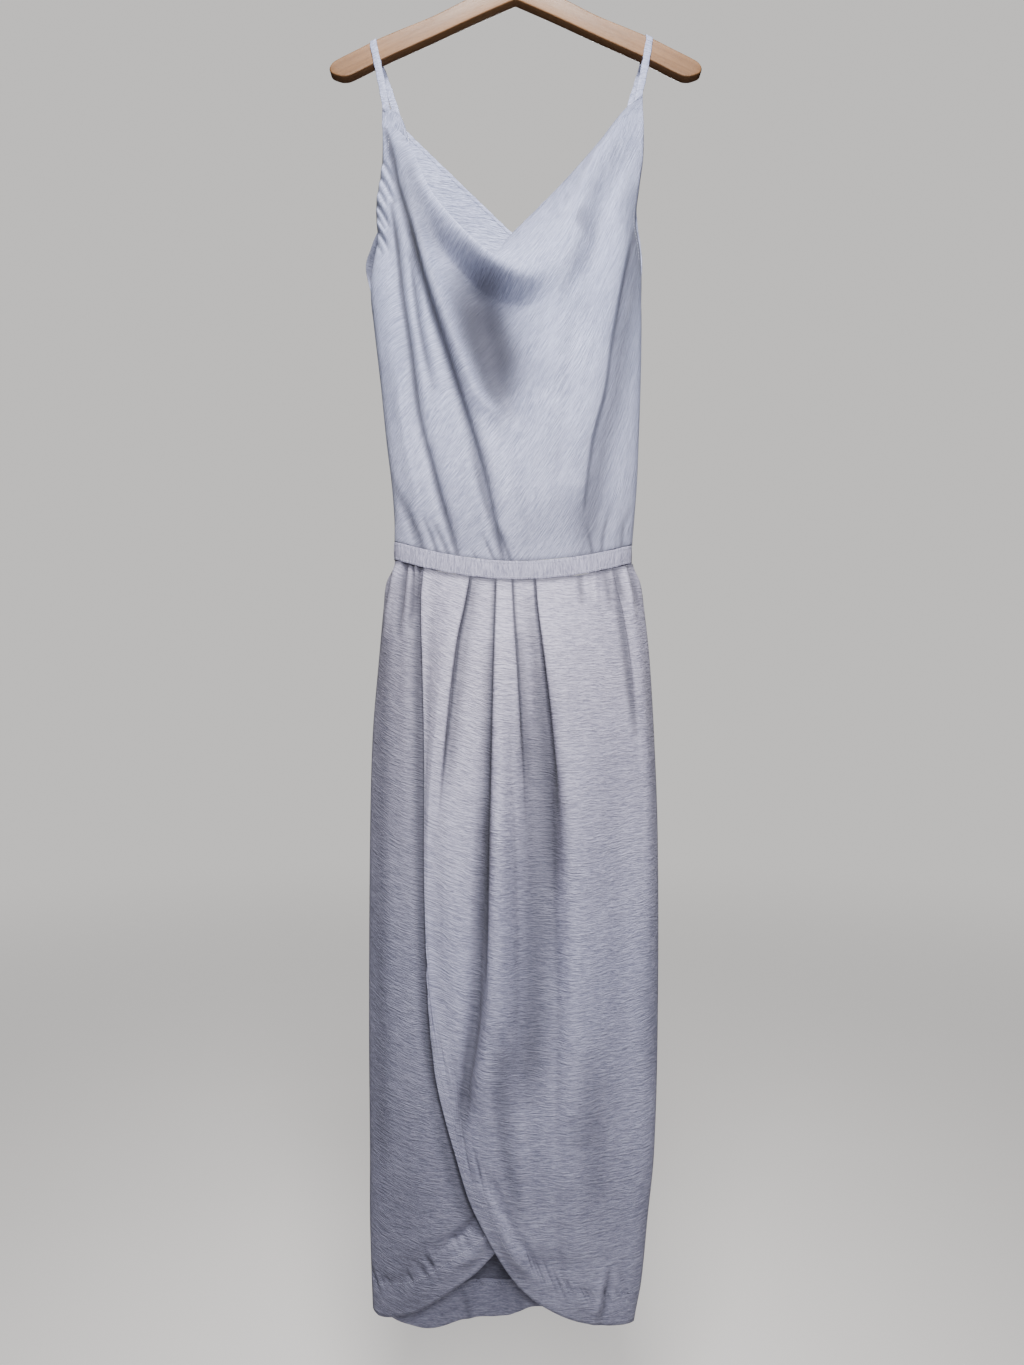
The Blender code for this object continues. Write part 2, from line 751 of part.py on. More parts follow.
def hanger():
    """A flat board cut to the outline of both arms, its edges rounded over."""
    half = [Reach(0, HOOK_STEM_FOOT)] + HANGER_TOP + HANGER_TIP + HANGER_FOOT
    outline = [(HANGER_MIDDLE + reach.out, reach.drop) for reach in half]
    outline += [(HANGER_MIDDLE - reach.out, reach.drop) for reach in reversed(half[1:-1])]
    mesh = bmesh.new()
    front = [mesh.verts.new(Vector((x, -HANGER_THICKNESS / 2, -drop)) * MM) for x, drop in outline]
    face = mesh.faces.new(front)
    made = bmesh.ops.extrude_face_region(mesh, geom=[face])["geom"]
    moved = [item for item in made if isinstance(item, bmesh.types.BMVert)]
    bmesh.ops.translate(mesh, vec=Vector((0, HANGER_THICKNESS, 0)) * MM, verts=moved)
    bmesh.ops.recalc_face_normals(mesh, faces=mesh.faces)
    data = bpy.data.meshes.new("hanger")
    mesh.to_mesh(data)
    mesh.free()
    piece = add_object("hanger", data, material("beech", (0.62, 0.42, 0.25), 0.45))
    rounding = piece.modifiers.new("rounded edges", "BEVEL")
    rounding.width = HANGER_EDGE * MM
    rounding.segments = 2
    rounding.limit_method = "ANGLE"
    rounding.angle_limit = math.radians(50)
    data.shade_smooth()
    data.set_sharp_from_angle(angle=math.radians(35))


def hanger_top(x):
    """Drop of the upper edge of the hanger at a place across."""
    return smooth_through(HANGER_TOP, abs(x - HANGER_MIDDLE)).drop


def hook():
    """A round wire: a stem from the top of the hanger, then a loop open to the left."""
    radius = HOOK_WIRE / 2
    middle = -(HOOK_LOOP - radius)
    points = [Vector((HANGER_MIDDLE, 0, -HOOK_STEM_FOOT + SEAM)), Vector((HANGER_MIDDLE, 0, middle - HOOK_LOOP - 6))]
    start, end, count = -62, 200, 30
    for step in range(count + 1):
        angle = math.radians(mix(start, end, step / count))
        points.append(Vector((HOOK_LOOP * math.cos(angle), 0, middle + HOOK_LOOP * math.sin(angle))))
    data = bpy.data.curves.new("hook", "CURVE")
    data.dimensions = "3D"
    data.bevel_depth = radius * MM
    data.bevel_resolution = 2
    data.use_fill_caps = True
    spline = data.splines.new("POLY")
    spline.points.add(len(points) - 1)
    for place, point in zip(spline.points, points):
        place.co = (*(point * MM), 1)
    add_object("hook", data, material("hook wire", (0.6, 0.6, 0.6), 0.3, 1.0))


def strap(name, front_foot, back_foot, over_x, finish):
    """One ribbon from the front of the bodice over the hanger's arm and down to the back."""
    clear = STRAP_CLOTH / 2 + 0.5
    slope = (hanger_top(over_x + 5) - hanger_top(over_x - 5)) / 10
    along_arm = Vector((1, 0, -slope)).normalized()
    lift = clear / math.cos(math.atan(slope))
    top = hanger_top(over_x) - lift
    out = HANGER_THICKNESS / 2 + clear
    bend = HANGER_EDGE + clear
    path = []
    foot = Vector((front_foot.x, -front_foot.depth, -front_foot.drop))
    head = Vector((over_x, -out, -(top + bend + 2)))
    for share in (0.0, 0.1, 0.35, 0.6, 0.8):
        place = foot.lerp(head, share)
        path.append((place, Vector((1, 0, 0)).lerp(along_arm, share).normalized()))
    for side in (-1, 1):
        for step in range(5):
            angle = math.radians(90 * step / 4)
            if side < 0:
                y, z = -out + bend * (1 - math.cos(angle)), -(top + bend) + bend * math.sin(angle)
            else:
                y, z = out - bend * (1 - math.sin(angle)), -(top + bend) + bend * math.cos(angle)
            path.append((Vector((over_x, y, z)), along_arm))
    foot = Vector((back_foot.x, back_foot.depth, -back_foot.drop))
    head = Vector((over_x, out, -(top + bend + 2)))
    for share in (0.8, 0.6, 0.35, 0.1, 0.0):
        place = foot.lerp(head, share)
        path.append((place, Vector((1, 0, 0)).lerp(along_arm, share).normalized()))
    half = STRAP_WIDTH / 2
    rows = [[place - wide * half, place, place + wide * half] for place, wide in reversed(path)]
    wall(name, rows, STRAP_CLOTH, finish)


for old in list(bpy.data.objects):
    bpy.data.objects.remove(old, do_unlink=True)

dress = bpy.data.objects.new("dress", None)
bpy.context.scene.collection.objects.link(dress)

crepe = material("crepe", (0.52, 0.55, 0.62), 0.6)
front_rows, back_rows = bodice_front(), bodice_back()
wall("bodice_front", front_rows, CLOTH, crepe, [len(front_rows) - 1])
wall("bodice_back", back_rows, CLOTH, crepe, [len(back_rows) - 1])
wall("waistband_front", band(-1), BAND_CLOTH, crepe, [0, 2])
wall("waistband_back", band(1), BAND_CLOTH, crepe, [0, 2])
wall("skirt_over_panel", over_panel(), CLOTH, crepe, [0])
wall("skirt_under_panel", under_panel(), CLOTH, crepe, [0])
wall("skirt_back", back_panel(), CLOTH, crepe, [0])
strap("strap_left", Edge(199, -137.5, 12), Edge(193.4, -129, 12), -151.5, crepe)
strap("strap_right", Edge(186, 138.5, 12), Edge(182.4, 133, 12), 150, crepe)
hanger()
hook()
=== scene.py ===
import math

import bmesh
import bpy
import numpy as np
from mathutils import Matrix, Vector


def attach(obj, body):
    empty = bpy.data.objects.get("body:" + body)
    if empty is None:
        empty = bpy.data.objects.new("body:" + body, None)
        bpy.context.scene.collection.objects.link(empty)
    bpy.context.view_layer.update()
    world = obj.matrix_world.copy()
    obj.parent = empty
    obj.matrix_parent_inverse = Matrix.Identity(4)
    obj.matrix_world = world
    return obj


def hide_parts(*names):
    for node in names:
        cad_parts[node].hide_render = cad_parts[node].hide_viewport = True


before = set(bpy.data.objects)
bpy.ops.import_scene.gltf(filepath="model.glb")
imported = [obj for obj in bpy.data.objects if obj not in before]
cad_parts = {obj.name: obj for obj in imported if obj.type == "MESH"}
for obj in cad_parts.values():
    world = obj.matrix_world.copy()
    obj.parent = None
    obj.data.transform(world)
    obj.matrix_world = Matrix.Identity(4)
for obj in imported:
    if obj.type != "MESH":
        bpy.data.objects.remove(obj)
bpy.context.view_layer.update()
bpy.ops.object.select_all(action="DESELECT")

# The back of the bodice is one piece of slub crepe with a V neck, held by the two straps.
# Its armholes are drawn in with narrow elastic and its foot is gathered into the waistband.
# Lengths are millimetres here, x to the right, y to the back, and a drop is how far below the hook.

# The body of the dress: drop, left side, right side, depth of the front, depth of the back
body = [
    (200, -141, 142, 15, 13), (260, -141, 142, 29, 18), (330, -148, 139, 42, 26), (396, -155, 141, 49, 32),
    (430, -152, 142, 52, 34), (500, -144, 141, 53, 36), (560, -138, 139, 51, 36), (610, -132, 137, 48, 35),
    (650, -129, 134, 44, 34), (676, -129, 132, 41, 33), (698, -129, 131, 40, 33), (718, -138, 139, 41, 34),
    (745, -141, 143, 45, 36), (800, -146, 149, 51, 40), (885, -153, 154, 54, 42), (1000, -156, 158, 54, 42),
    (1210, -157, 158, 49, 38), (1345, -156, 154, 39, 31), (1415, -156, 147, 32, 26), (1485, -154, 140, 26, 21),
    (1530, -152, 132, 22, 18), (1560, -150, 131, 21, 17)]
seam_gap = 0.3
bluntness = 0.8
# The waistband's upper edge: its left end, its length, the drop there and how much lower its right end is
waist_left, waist_length, waist_drop, waist_tilt = -129, 260, 673, 4
# How far above that edge the bodice ends, and how far below it the skirt starts
bodice_end, skirt_start = 0.5, 20.3


def read(table, at):
    """The columns of a table at places between its rows, each on a smooth curve."""
    table = np.array(table, float)
    knots, values = table[:, 0], table[:, 1:]
    order = np.arange(len(knots))
    after, before = np.minimum(order + 1, order[-1]), np.maximum(order - 1, 0)
    slopes = (values[after] - values[before]) / (knots[after] - knots[before])[:, None]
    at = np.clip(np.asarray(at, float), knots[0], knots[-1])
    low = np.clip(np.searchsorted(knots, at, side="right") - 1, 0, order[-1] - 1)
    span = (knots[low + 1] - knots[low])[..., None]
    t = (at - knots[low])[..., None] / span
    found = values[low] * (1 + 2 * t) * (1 - t) ** 2 + slopes[low] * span * t * (1 - t) ** 2
    found = found + values[low + 1] * t * t * (3 - 2 * t) + slopes[low + 1] * span * t * t * (t - 1)
    return np.moveaxis(found, -1, 0)


def ease(value):
    """A smooth step from 0 to 1."""
    value = np.clip(value, 0, 1)
    return value * value * (3 - 2 * value)


def unit(vectors):
    return vectors / np.maximum(np.linalg.norm(vectors, axis=-1, keepdims=True), 1e-9)


def wave(at, pitch, swing, slow):
    """An uneven wave: so many radians to the millimetre, swung to and fro by a slower one."""
    return np.sin(at * pitch + swing * np.sin(at * slow))


def across_path(path, x, drop):
    """How far to the right of a path a place lies, and how far in from the path's ends."""
    line = [(below, across) for across, below in path]
    held = np.clip(drop, path[0][1], path[-1][1] - 4)
    lean = np.cos(np.arctan2(read(line, held + 4)[0] - read(line, held)[0], 4))
    return (x - read(line, drop)[0]) * lean, np.minimum(drop - path[0][1], path[-1][1] - drop)


def soft_folds(x, drop, folds):
    """Height of ridges and troughs, or the strength of painted shade along lines. Each fold is its height, its width
    and the (x, drop) points it follows.
    """
    total = np.zeros(np.broadcast(x, drop).shape)
    for out, width, path in folds:
        across, inside = across_path(path, x, drop)
        length = path[-1][1] - path[0][1]
        distance = (across ** 2 + np.minimum(inside, 0) ** 2) / width ** 2
        fade = 0.35 + 0.65 * ease(inside / min(40, length / 3))
        if width < 1.3:
            # A crisp line, such as a painted shadow line beside a pleat's edge, starts at full strength and dies away
            # downwards
            fade = ease((path[-1][1] - drop) / (0.7 * length))
        total += out * np.exp(-distance) * fade
    return total


def sunk_painted_shade(x, height, close=4.0):
    """Painted shade for cloth that lies lower than what is beside it, from 0 on open cloth to 0.5 in a deep fold."""
    shade = np.zeros(height.shape)
    step = np.abs(np.gradient(x, axis=1)) + 0.01
    for reach, full in ((close, 1.9), (13.0, 20.0)):
        near = np.exp(-((x[:, :, None] - x[:, None, :]) / reach) ** 2) * step[:, None, :]
        beside = (near * height[:, None, :]).sum(axis=2) / near.sum(axis=2)
        shade += np.maximum(beside - height, 0) / full
    return np.minimum(shade, 0.5)


def body_side(edge, column, top, falls):
    """A side of a bodice piece from its top to the waistband: its free edge, then the side seam."""
    drop = top + (waist_drop - bodice_end + waist_tilt * column - top) * falls
    x, depth = read(edge, drop)
    seam = read(body, drop)[column]
    below = drop >= edge[-1][0]
    return np.where(below, seam, x), np.where(below, seam_gap / 2, depth)


def hanging_depth(x, left, right, reach, folds):
    """Depth of the bodice between its two sides."""
    share = np.clip(2 * (x - left[0]) / (right[0] - left[0]) - 1, -1, 1)
    edge = left[1] + (right[1] - left[1]) * (share + 1) / 2
    inside = ease((1 - np.abs(share)) / 0.16)
    return edge + (reach - edge) * (1 - share * share) ** (bluntness / 2) + folds * inside


def band_top(x, side):
    """Drop of the waistband's upper edge, which dips at the middle."""
    along = (x - waist_left) / waist_length
    share = np.minimum(np.abs(2 * along - 1), 1)
    return waist_drop + waist_tilt * along + (23 if side < 0 else 14) * (1 - share * share)


def outward(grid):
    """Unit normals of a grid of points whose rows run down and whose columns run to the right."""
    return unit(np.cross(np.gradient(grid, axis=0), np.gradient(grid, axis=1)))


def with_hem(cloth, where, rows, gap=0.42):
    """The cloth with one edge turned in and laid back against its inside for some rows."""
    axis, first = {"foot": (0, False), "top": (0, True), "left": (1, True), "right": (1, False)}[where]
    push = np.zeros_like(cloth)
    push[..., :3] = -outward(cloth[..., :3]) * gap
    if first:
        cloth, push = np.flip(cloth, axis), np.flip(push, axis)
    cloth, push = np.moveaxis(cloth, axis, 0), np.moveaxis(push, axis, 0)
    on = cloth[-1] - cloth[-2]
    on = on / np.maximum(np.linalg.norm(on[:, :3], axis=1, keepdims=True), 1e-9)
    edge = cloth[-1] + on * 0.35 * gap + push[-1] / 2
    whole = np.moveaxis(np.concatenate([cloth, [edge], (cloth + push)[-1:-2 - rows:-1]]), 0, axis)
    return np.flip(whole, axis) if first else whole


def grain(grid, slopes, middle):
    """Cloth coordinates in metres: along the slubs, whose slope is read from x, and across them."""
    steps = np.hypot(np.diff(grid[..., 0], axis=1), np.diff(grid[..., 1], axis=1))
    along = np.concatenate([np.zeros((len(grid), 1)), np.cumsum(steps, axis=1)], axis=1)
    along += (grid[:, middle, 0] - along[:, middle])[:, None]
    slope = np.interp(grid[..., 0], *np.array(slopes, float).T)
    rise = np.concatenate([np.zeros((len(grid), 1)), np.cumsum(slope[:, 1:] * steps, axis=1)], axis=1)
    rise -= rise[:, middle][:, None]
    return np.stack([along, grid[..., 2] - rise], axis=2) / 1000


def stand_for(piece, node):
    """The piece rides on the part's one body and shows in place of a node's solid."""
    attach(piece, "root")
    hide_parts(node)


def add_mesh(name, points, faces, finish, node):
    """A mesh of points in millimetres, of cloth or thread, as a piece that stands for a node."""
    data = bpy.data.meshes.new(name)
    data.from_pydata((np.reshape(points, (-1, 3)) / 1000).tolist(), [], faces)
    data.materials.append(finish)
    data.shade_smooth()
    piece = bpy.data.objects.new(name, data)
    bpy.context.scene.collection.objects.link(piece)
    stand_for(piece, node)
    return piece


def lay_grain(data, coordinates):
    """Cloth coordinates for each corner of a mesh, as its UV map."""
    layer = data.uv_layers.new(name="grain")
    corners = np.empty(len(data.loops), int)
    data.loops.foreach_get("vertex_index", corners)
    layer.data.foreach_set("uv", coordinates.reshape(-1, 2)[corners].ravel())


def cloth_piece(name, grid, coordinates, painted_shade, finish, turned, inside_painted_shade=0.0):
    """A sheet of cloth from a grid of its middle points, its edges turned in, as one closed mesh, with painted shade
    on its points.
    """
    # Painted shade for the shell's two sides; the inner side can be painted darker still
    shades = np.stack([painted_shade, painted_shade + inside_painted_shade], axis=2)
    cloth = np.concatenate([grid, coordinates, 1 - np.exp(-1.5 * np.maximum(shades, 0))], axis=2)
    for where, rows in turned:
        cloth = with_hem(cloth, where, rows)
    down, wide = cloth.shape[:2]
    index = np.arange(down * wide).reshape(down, wide)
    faces = np.stack([index[:-1, :-1], index[1:, :-1], index[1:, 1:], index[:-1, 1:]], axis=2).reshape(-1, 4).tolist()
    piece = add_mesh(name + "_crepe", cloth[..., :3], faces, finish, name)
    data = piece.data
    lay_grain(data, cloth[..., 3:5])
    wall = piece.modifiers.new("wall", "SOLIDIFY")
    wall.thickness = 0.0006
    wall.offset = 0
    bpy.context.view_layer.objects.active = piece
    bpy.ops.object.modifier_apply(modifier=wall.name)
    # The painted shade is kept on the points, for the cloth's material to darken its colour with
    shade = data.attributes.new("hollow_painted_shade", "FLOAT", "POINT")
    shade.data.foreach_set("value", cloth.reshape(-1, 7)[:, 5:].T.ravel())
    data.set_sharp_from_angle(angle=math.radians(80))
    return piece


def stitches(name, points, normals, node, length=2.2, space=1.1, radius=0.16):
    """A row of thread stitches along a line of points, each a small spindle half sunk in the cloth."""
    steps = np.linalg.norm(np.diff(points, axis=0), axis=1)
    walk = np.concatenate([[0], np.cumsum(steps)])
    starts = np.arange(space, walk[-1] - length, length + space)
    corners, faces = [], []
    for start in starts:
        ends = [np.array([np.interp(start + length * t, walk, points[:, k]) for k in range(3)]) for t in (0, 0.5, 1)]
        out = np.array([np.interp(start + length / 2, walk, normals[:, k]) for k in range(3)])
        out = out / np.linalg.norm(out)
        side = np.cross(ends[2] - ends[0], out)
        side = side / np.linalg.norm(side)
        first = len(corners)
        corners.append(ends[0] + out * 0.25)
        for place, girth in ((0.25, 0.8), (0.75, 0.8)):
            middle = ends[0] + (ends[2] - ends[0]) * place + out * 0.42
            corners += [middle + (side * math.cos(a) + out * math.sin(a)) * radius * girth * 1.4
                        for a in np.arange(6) * math.pi / 3]
        corners.append(ends[2] + out * 0.25)
        for k in range(6):
            n = (k + 1) % 6
            faces += [(first, first + 1 + n, first + 1 + k), (first + 13, first + 7 + k, first + 7 + n)]
            faces += [(first + 1 + k, first + 1 + n, first + 7 + n), (first + 1 + k, first + 7 + n, first + 7 + k)]
    return add_mesh(name, np.array(corners), faces, thread, node)


def stitched_row(name, grid, where, node):
    """Stitches along one line of a piece's grid of points."""
    return stitches(name, grid[where], outward(grid)[where], node)


def set_inputs(tree, node, inputs):
    """Give a node's inputs plain values, or link them to other nodes' outputs."""
    for key, value in inputs.items():
        if isinstance(value, bpy.types.NodeSocket):
            tree.links.new(value, node.inputs[key])
        else:
            node.inputs[key].default_value = value


def add_node(tree, kind, inputs, output=0, **settings):
    """One output of a new shader node."""
    made = tree.nodes.new("ShaderNode" + kind)
    for key, value in settings.items():
        setattr(made, key, value)
    set_inputs(tree, made, inputs)
    return made.outputs[output]


def reckon(tree, operation, first, second):
    return add_node(tree, "Math", {0: first, 1: second}, operation=operation)


def add_part(tree, first, second, part):
    """A value with a part of another added to it."""
    return reckon(tree, "ADD", first, reckon(tree, "MULTIPLY", second, part))


def on_vectors(tree, operation, first, second=(0, 0, 0), output=0):
    return add_node(tree, "VectorMath", {0: first, 1: second}, output, operation=operation)


def noise(tree, vector, scale, detail, roughness=0.5, **settings):
    inputs = {"Vector": vector, "Scale": scale, "Detail": detail, "Roughness": roughness}
    return add_node(tree, "TexNoise", inputs, "Fac", **settings)


def remap(tree, value, low, high, to_low=0.0, to_high=1.0, **settings):
    inputs = {"Value": value, "From Min": low, "From Max": high, "To Min": to_low, "To Max": to_high}
    return add_node(tree, "MapRange", inputs, **settings)


def blend(tree, factor, *ends):
    """A colour part of the way from one to another."""
    first, second = [end if isinstance(end, bpy.types.NodeSocket) else (*end, 1) for end in ends]
    return add_node(tree, "Mix", {0: factor, 6: first, 7: second}, 2, data_type="RGBA")


def bump(tree, height, strength, distance):
    return add_node(tree, "Bump", {"Height": height, "Strength": strength, "Distance": distance})


def own_place(tree):
    return add_node(tree, "TexCoord", {}, "Object")


def new_material(name):
    """A material with its node tree."""
    made = bpy.data.materials.new(name)
    made.use_nodes = True
    return made, made.node_tree


def finish_shader(tree, inputs):
    set_inputs(tree, tree.nodes["Principled BSDF"], inputs)


def streaks(tree, vector, along, across, detail=2.0):
    """Noise drawn out along the slubs: so many to the metre along them and across them."""
    scaled = on_vectors(tree, "MULTIPLY", vector, (along, across, 1))
    return noise(tree, scaled, 1.0, detail, 0.55, noise_dimensions="2D")


# The crepe's surface: uneven slubs that lie along the weft, finer threads between them and dark flecks
slub = bpy.data.node_groups.new("slub crepe", "ShaderNodeTree")
slub.interface.new_socket("Cloth", in_out="INPUT", socket_type="NodeSocketVector")
for socket in ("Height", "Shade", "Fleck"):
    slub.interface.new_socket(socket, in_out="OUTPUT", socket_type="NodeSocketFloat")
cloth = slub.nodes.new("NodeGroupInput").outputs["Cloth"]
wander = add_node(slub, "TexNoise", {"Vector": cloth, "Scale": 22.0, "Detail": 2.0}, "Color", noise_dimensions="2D")
bent = on_vectors(slub, "ADD", cloth, on_vectors(slub, "MULTIPLY", wander, (0.0, 0.008, 0)))
broad, coarse, fine = streaks(slub, bent, 60, 450), streaks(slub, bent, 110, 800), streaks(slub, bent, 260, 1700)
patches, threads = streaks(slub, bent, 22, 60, 1.0), streaks(slub, cloth, 900, 2600, 0.0)
strong = reckon(slub, "MULTIPLY", add_part(slub, coarse, broad, 1.1), reckon(slub, "ADD", patches, 0.3))
set_inputs(slub, slub.nodes.new("NodeGroupOutput"), {
    "Height": add_part(slub, add_part(slub, strong, fine, 0.5), threads, 0.08),
    "Shade": reckon(slub, "ADD", reckon(slub, "ADD", broad, coarse), fine),
    "Fleck": remap(slub, streaks(slub, bent, 95, 420, 1.0), 0.69, 0.78)})


def crepe(name, light, dark, relief=1.0):
    """Blue-grey slub crepe with a soft satin face."""
    made, tree = new_material(name)
    weave = tree.nodes.new("ShaderNodeGroup")
    weave.node_tree = slub
    set_inputs(tree, weave, {"Cloth": add_node(tree, "UVMap", {}, uv_map="grain")})
    height, shade, fleck = weave.outputs
    place = own_place(tree)
    tone = add_part(tree, shade, noise(tree, place, 9.0, 3.0), 0.5)
    colour = blend(tree, remap(tree, tone, 1.4, 2.1), dark, light)
    colour = blend(tree, reckon(tree, "MULTIPLY", fleck, 0.35), colour, (0.18, 0.18, 0.24))
    # The colour is made a little warmer and greyer about the waist, and left bluer towards the neck and the hem
    off_waist = reckon(tree, "ADD", add_node(tree, "SeparateXYZ", {0: place}, "Z"), 0.78)
    off_waist = remap(tree, reckon(tree, "ABSOLUTE", off_waist, 0), 0.05, 0.35)
    colour = on_vectors(tree, "MULTIPLY", colour, blend(tree, off_waist, (1.03, 0.97, 0.9), (1.0, 1.0, 1.0)))
    # Painted shade: where the cloth lies deep in a fold its base colour is darkened, and it is made rougher so that
    # it shines less
    hollow_painted_shade = add_node(tree, "Attribute", {}, "Fac", attribute_name="hollow_painted_shade")
    finish_shader(tree, {
        "Base Color": blend(tree, reckon(tree, "MULTIPLY", hollow_painted_shade, 0.96), colour, (0.03, 0.03, 0.045)),
        "Roughness": add_part(tree, remap(tree, height, 0.5, 1.5, 0.62, 0.48), hollow_painted_shade, 0.3),
        "Normal": bump(tree, height, 0.75, 0.0011 * relief),
        "Specular IOR Level": 0.4, "Sheen Weight": 0.06, "Sheen Roughness": 0.45})
    return made


light_crepe, dark_crepe = (0.4, 0.43, 0.62), (0.185, 0.205, 0.32)
bodice_crepe = crepe("bodice crepe", light_crepe, dark_crepe)

thread, ply = new_material("polyester thread")
plies = noise(ply, own_place(ply), 2600.0, 1.0)
finish_shader(ply, {"Base Color": blend(ply, plies, (0.33, 0.345, 0.44), (0.5, 0.52, 0.63)), "Roughness": 0.4})

back_left_edge = [(194, -133, 12), (250, -136, 14), (310, -146, 15), (345, -158, 13), (364, -162, 10),
                  (396, -155, seam_gap / 2)]
back_right_edge = [(183, 137, 12), (250, 138, 14), (310, 139, 15), (345, 143, 12), (364, 144, 8),
                   (385, 142, seam_gap / 2)]
back_folds = [
    (4, 16, [(-70, 290), (-58, 420), (-48, 560), (-44, 700)]),
    (-3.5, 12, [(-30, 350), (-24, 460), (-18, 600)]),
    (3.5, 14, [(34, 350), (30, 470), (22, 600), (20, 700)]),
    (-4, 11, [(112, 300), (98, 420), (86, 540), (80, 690)]),
    (-3, 10, [(-118, 360), (-102, 470), (-92, 600)]),
    (1.2, 6, [(-96, 560), (-90, 630), (-88, 720)]),
    (-1.2, 5, [(62, 590), (60, 650), (56, 720)]),
]
# Gathers at the foot of the back: x, how far up they run, height and width
back_gathers = [
    (-116, 62, 1.5, 3.2), (-107, 48, -1.4, 2.8), (-99, 74, 1.7, 3.4), (-90, 40, -1.3, 2.6), (-80, 66, 1.4, 3.6),
    (-70, 46, -1.5, 3), (-57, 58, 1.3, 3.2), (-46, 38, -1.2, 2.8), (-34, 62, 1.5, 3.4), (-20, 44, -1.3, 3),
    (-8, 56, 1.2, 3.4), (6, 40, -1.3, 2.8), (19, 66, 1.5, 3.2), (31, 44, -1.4, 3), (44, 58, 1.3, 3.2),
    (56, 38, -1.2, 2.8), (68, 62, 1.5, 3.4), (79, 46, -1.4, 3), (90, 68, 1.4, 3.2), (100, 42, -1.3, 2.6),
    (110, 60, 1.5, 3.2), (119, 40, -1.1, 2.6)]


def gathers_above(rows):
    """Short folds that run up the back from the waistband."""
    made = []
    for x, reach, out, width in rows:
        foot = float(band_top(x, 1))
        made.append((out, width, [(x, foot - reach), (x, foot - reach * 0.4), (x, foot + 12)]))
    return made


def puckers(edge, rows, inward):
    """Small folds that elastic draws in along an armhole: drop, length, height and width of each."""
    made = []
    for drop, reach, out, width in rows:
        x = float(read(edge, drop)[0])
        made.append((out, width, [(x - inward * 2, drop - 6), (x + inward * reach * 0.45, drop + reach * 0.65),
                                  (x + inward * reach * 0.85, drop + reach * 1.5)]))
    return made


back_puckers = [
    (212, 10, 0.8, 2.6), (222, 13, -0.9, 2.4), (232, 12, 1, 2.6), (241, 16, -1.2, 2.6), (250, 14, 1.2, 2.8),
    (259, 19, -1.4, 2.6), (268, 17, 1.4, 2.8), (278, 21, -1.5, 2.8), (287, 18, 1.4, 2.8), (296, 22, -1.6, 2.8),
    (306, 18, 1.5, 3), (316, 22, -1.4, 2.8), (326, 17, 1.3, 3), (336, 18, -1.3, 2.8), (346, 14, 1.1, 3),
    (356, 15, -1.1, 2.8), (366, 12, 0.9, 3), (376, 12, -0.8, 3)]
across, down = 120, 150
falls = (np.linspace(0, 1, down) ** 1.05)[:, None]
shares = np.linspace(1, 0, across)[None, :]
# The neckline from the left strap to the right one, as x and drop, and the drop of its point
start_x, end_x, start_drop, end_drop, point_drop = -133, 137, 194, 184, 323
left = body_side(back_left_edge, 0, start_drop, falls)
right = body_side(back_right_edge, 1, end_drop, falls)
x = left[0] + (right[0] - left[0]) * shares
top_x = start_x + (end_x - start_x) * shares
top = start_drop + (end_drop - start_drop) * shares
top = top + (point_drop - top) * (1 - np.abs(top_x) / end_x) ** 0.94
drop = top + (band_top(x, 1) - bodice_end - top) * falls
folds = soft_folds(x, drop, back_folds + gathers_above(back_gathers))
depth = hanging_depth(x, left, right, read(body, drop)[3], folds)
rim = puckers(back_left_edge, back_puckers, 1) + puckers(back_right_edge, back_puckers, -1)
rim = soft_folds(x, drop, rim)
# The neckline's narrow hem ripples a little, most near its point
beside_neck = (drop - top) * 0.7
depth = depth + rim + 0.5 * wave(x, 0.55, 2, 0.13) * ease(1 - beside_neck / 14)
# Painted shade darkens the cloth inside the left armhole, where little light reaches
armhole_painted_shade = 1.1 * ease((x - left[0]) / -24 + 1) * ease((drop - 320) / 30) * ease((400 - drop) / 30)
back_grid = np.stack([x, depth, -drop], axis=2)
back_cloth = grain(back_grid, [(-160, 0.1), (-40, 0.16), (60, -0.12), (160, -0.2)], across // 2)
# The back is painted darker in its folds and puckers and inside the left armhole
bodice_back = cloth_piece("bodice_back", back_grid, back_cloth, armhole_painted_shade + sunk_painted_shade(x, folds + 1.6 * rim),
                          bodice_crepe, [("top", 2), ("left", 2), ("right", 2)])
back_stitches = [stitched_row(f"bodice_back_{edge}_stitches", back_grid, where, "bodice_back") for edge, where in [
    ("neck", np.s_[2]), ("left_arm", np.s_[6:90, -4]), ("right_arm", np.s_[6:86, 3])]]

# The front of the bodice is cut on the bias, wider than the body, so that it hangs as a cowl.
# The cloth turns over a soft lip below the neckline and falls in folds from both straps to the waist.
# From the share of the way across: x, drop and depth of the neckline edge, then of the lip
neck_edge = [
    (0, -141, 200, 12), (0.04, -121, 212, 14), (0.14, -99, 284, 20), (0.25, -70, 341, 24), (0.33, -45, 369, 26),
    (0.4, -26, 379, 27), (0.47, -5, 350, 26), (0.56, 28, 316, 24), (0.66, 52, 291, 23), (0.76, 74, 266, 21),
    (0.86, 97, 238, 18), (0.94, 121, 206, 14), (1, 142, 187, 12)]
cowl_lip = [
    (0, -141, 224, 13), (0.03, -123, 229, 18), (0.07, -111, 247, 27), (0.13, -99, 278, 38), (0.2, -86, 308, 48),
    (0.27, -68, 334, 56), (0.35, -44, 362, 64), (0.44, -15, 388, 70), (0.5, 6, 400, 72), (0.54, 20, 403, 73),
    (0.59, 37, 397, 72), (0.64, 51, 383, 70), (0.68, 61, 363, 66), (0.72, 68, 338, 60), (0.77, 76, 308, 53),
    (0.82, 87, 277, 45), (0.88, 101, 251, 34), (0.94, 121, 217, 20), (1, 142, 206, 13)]
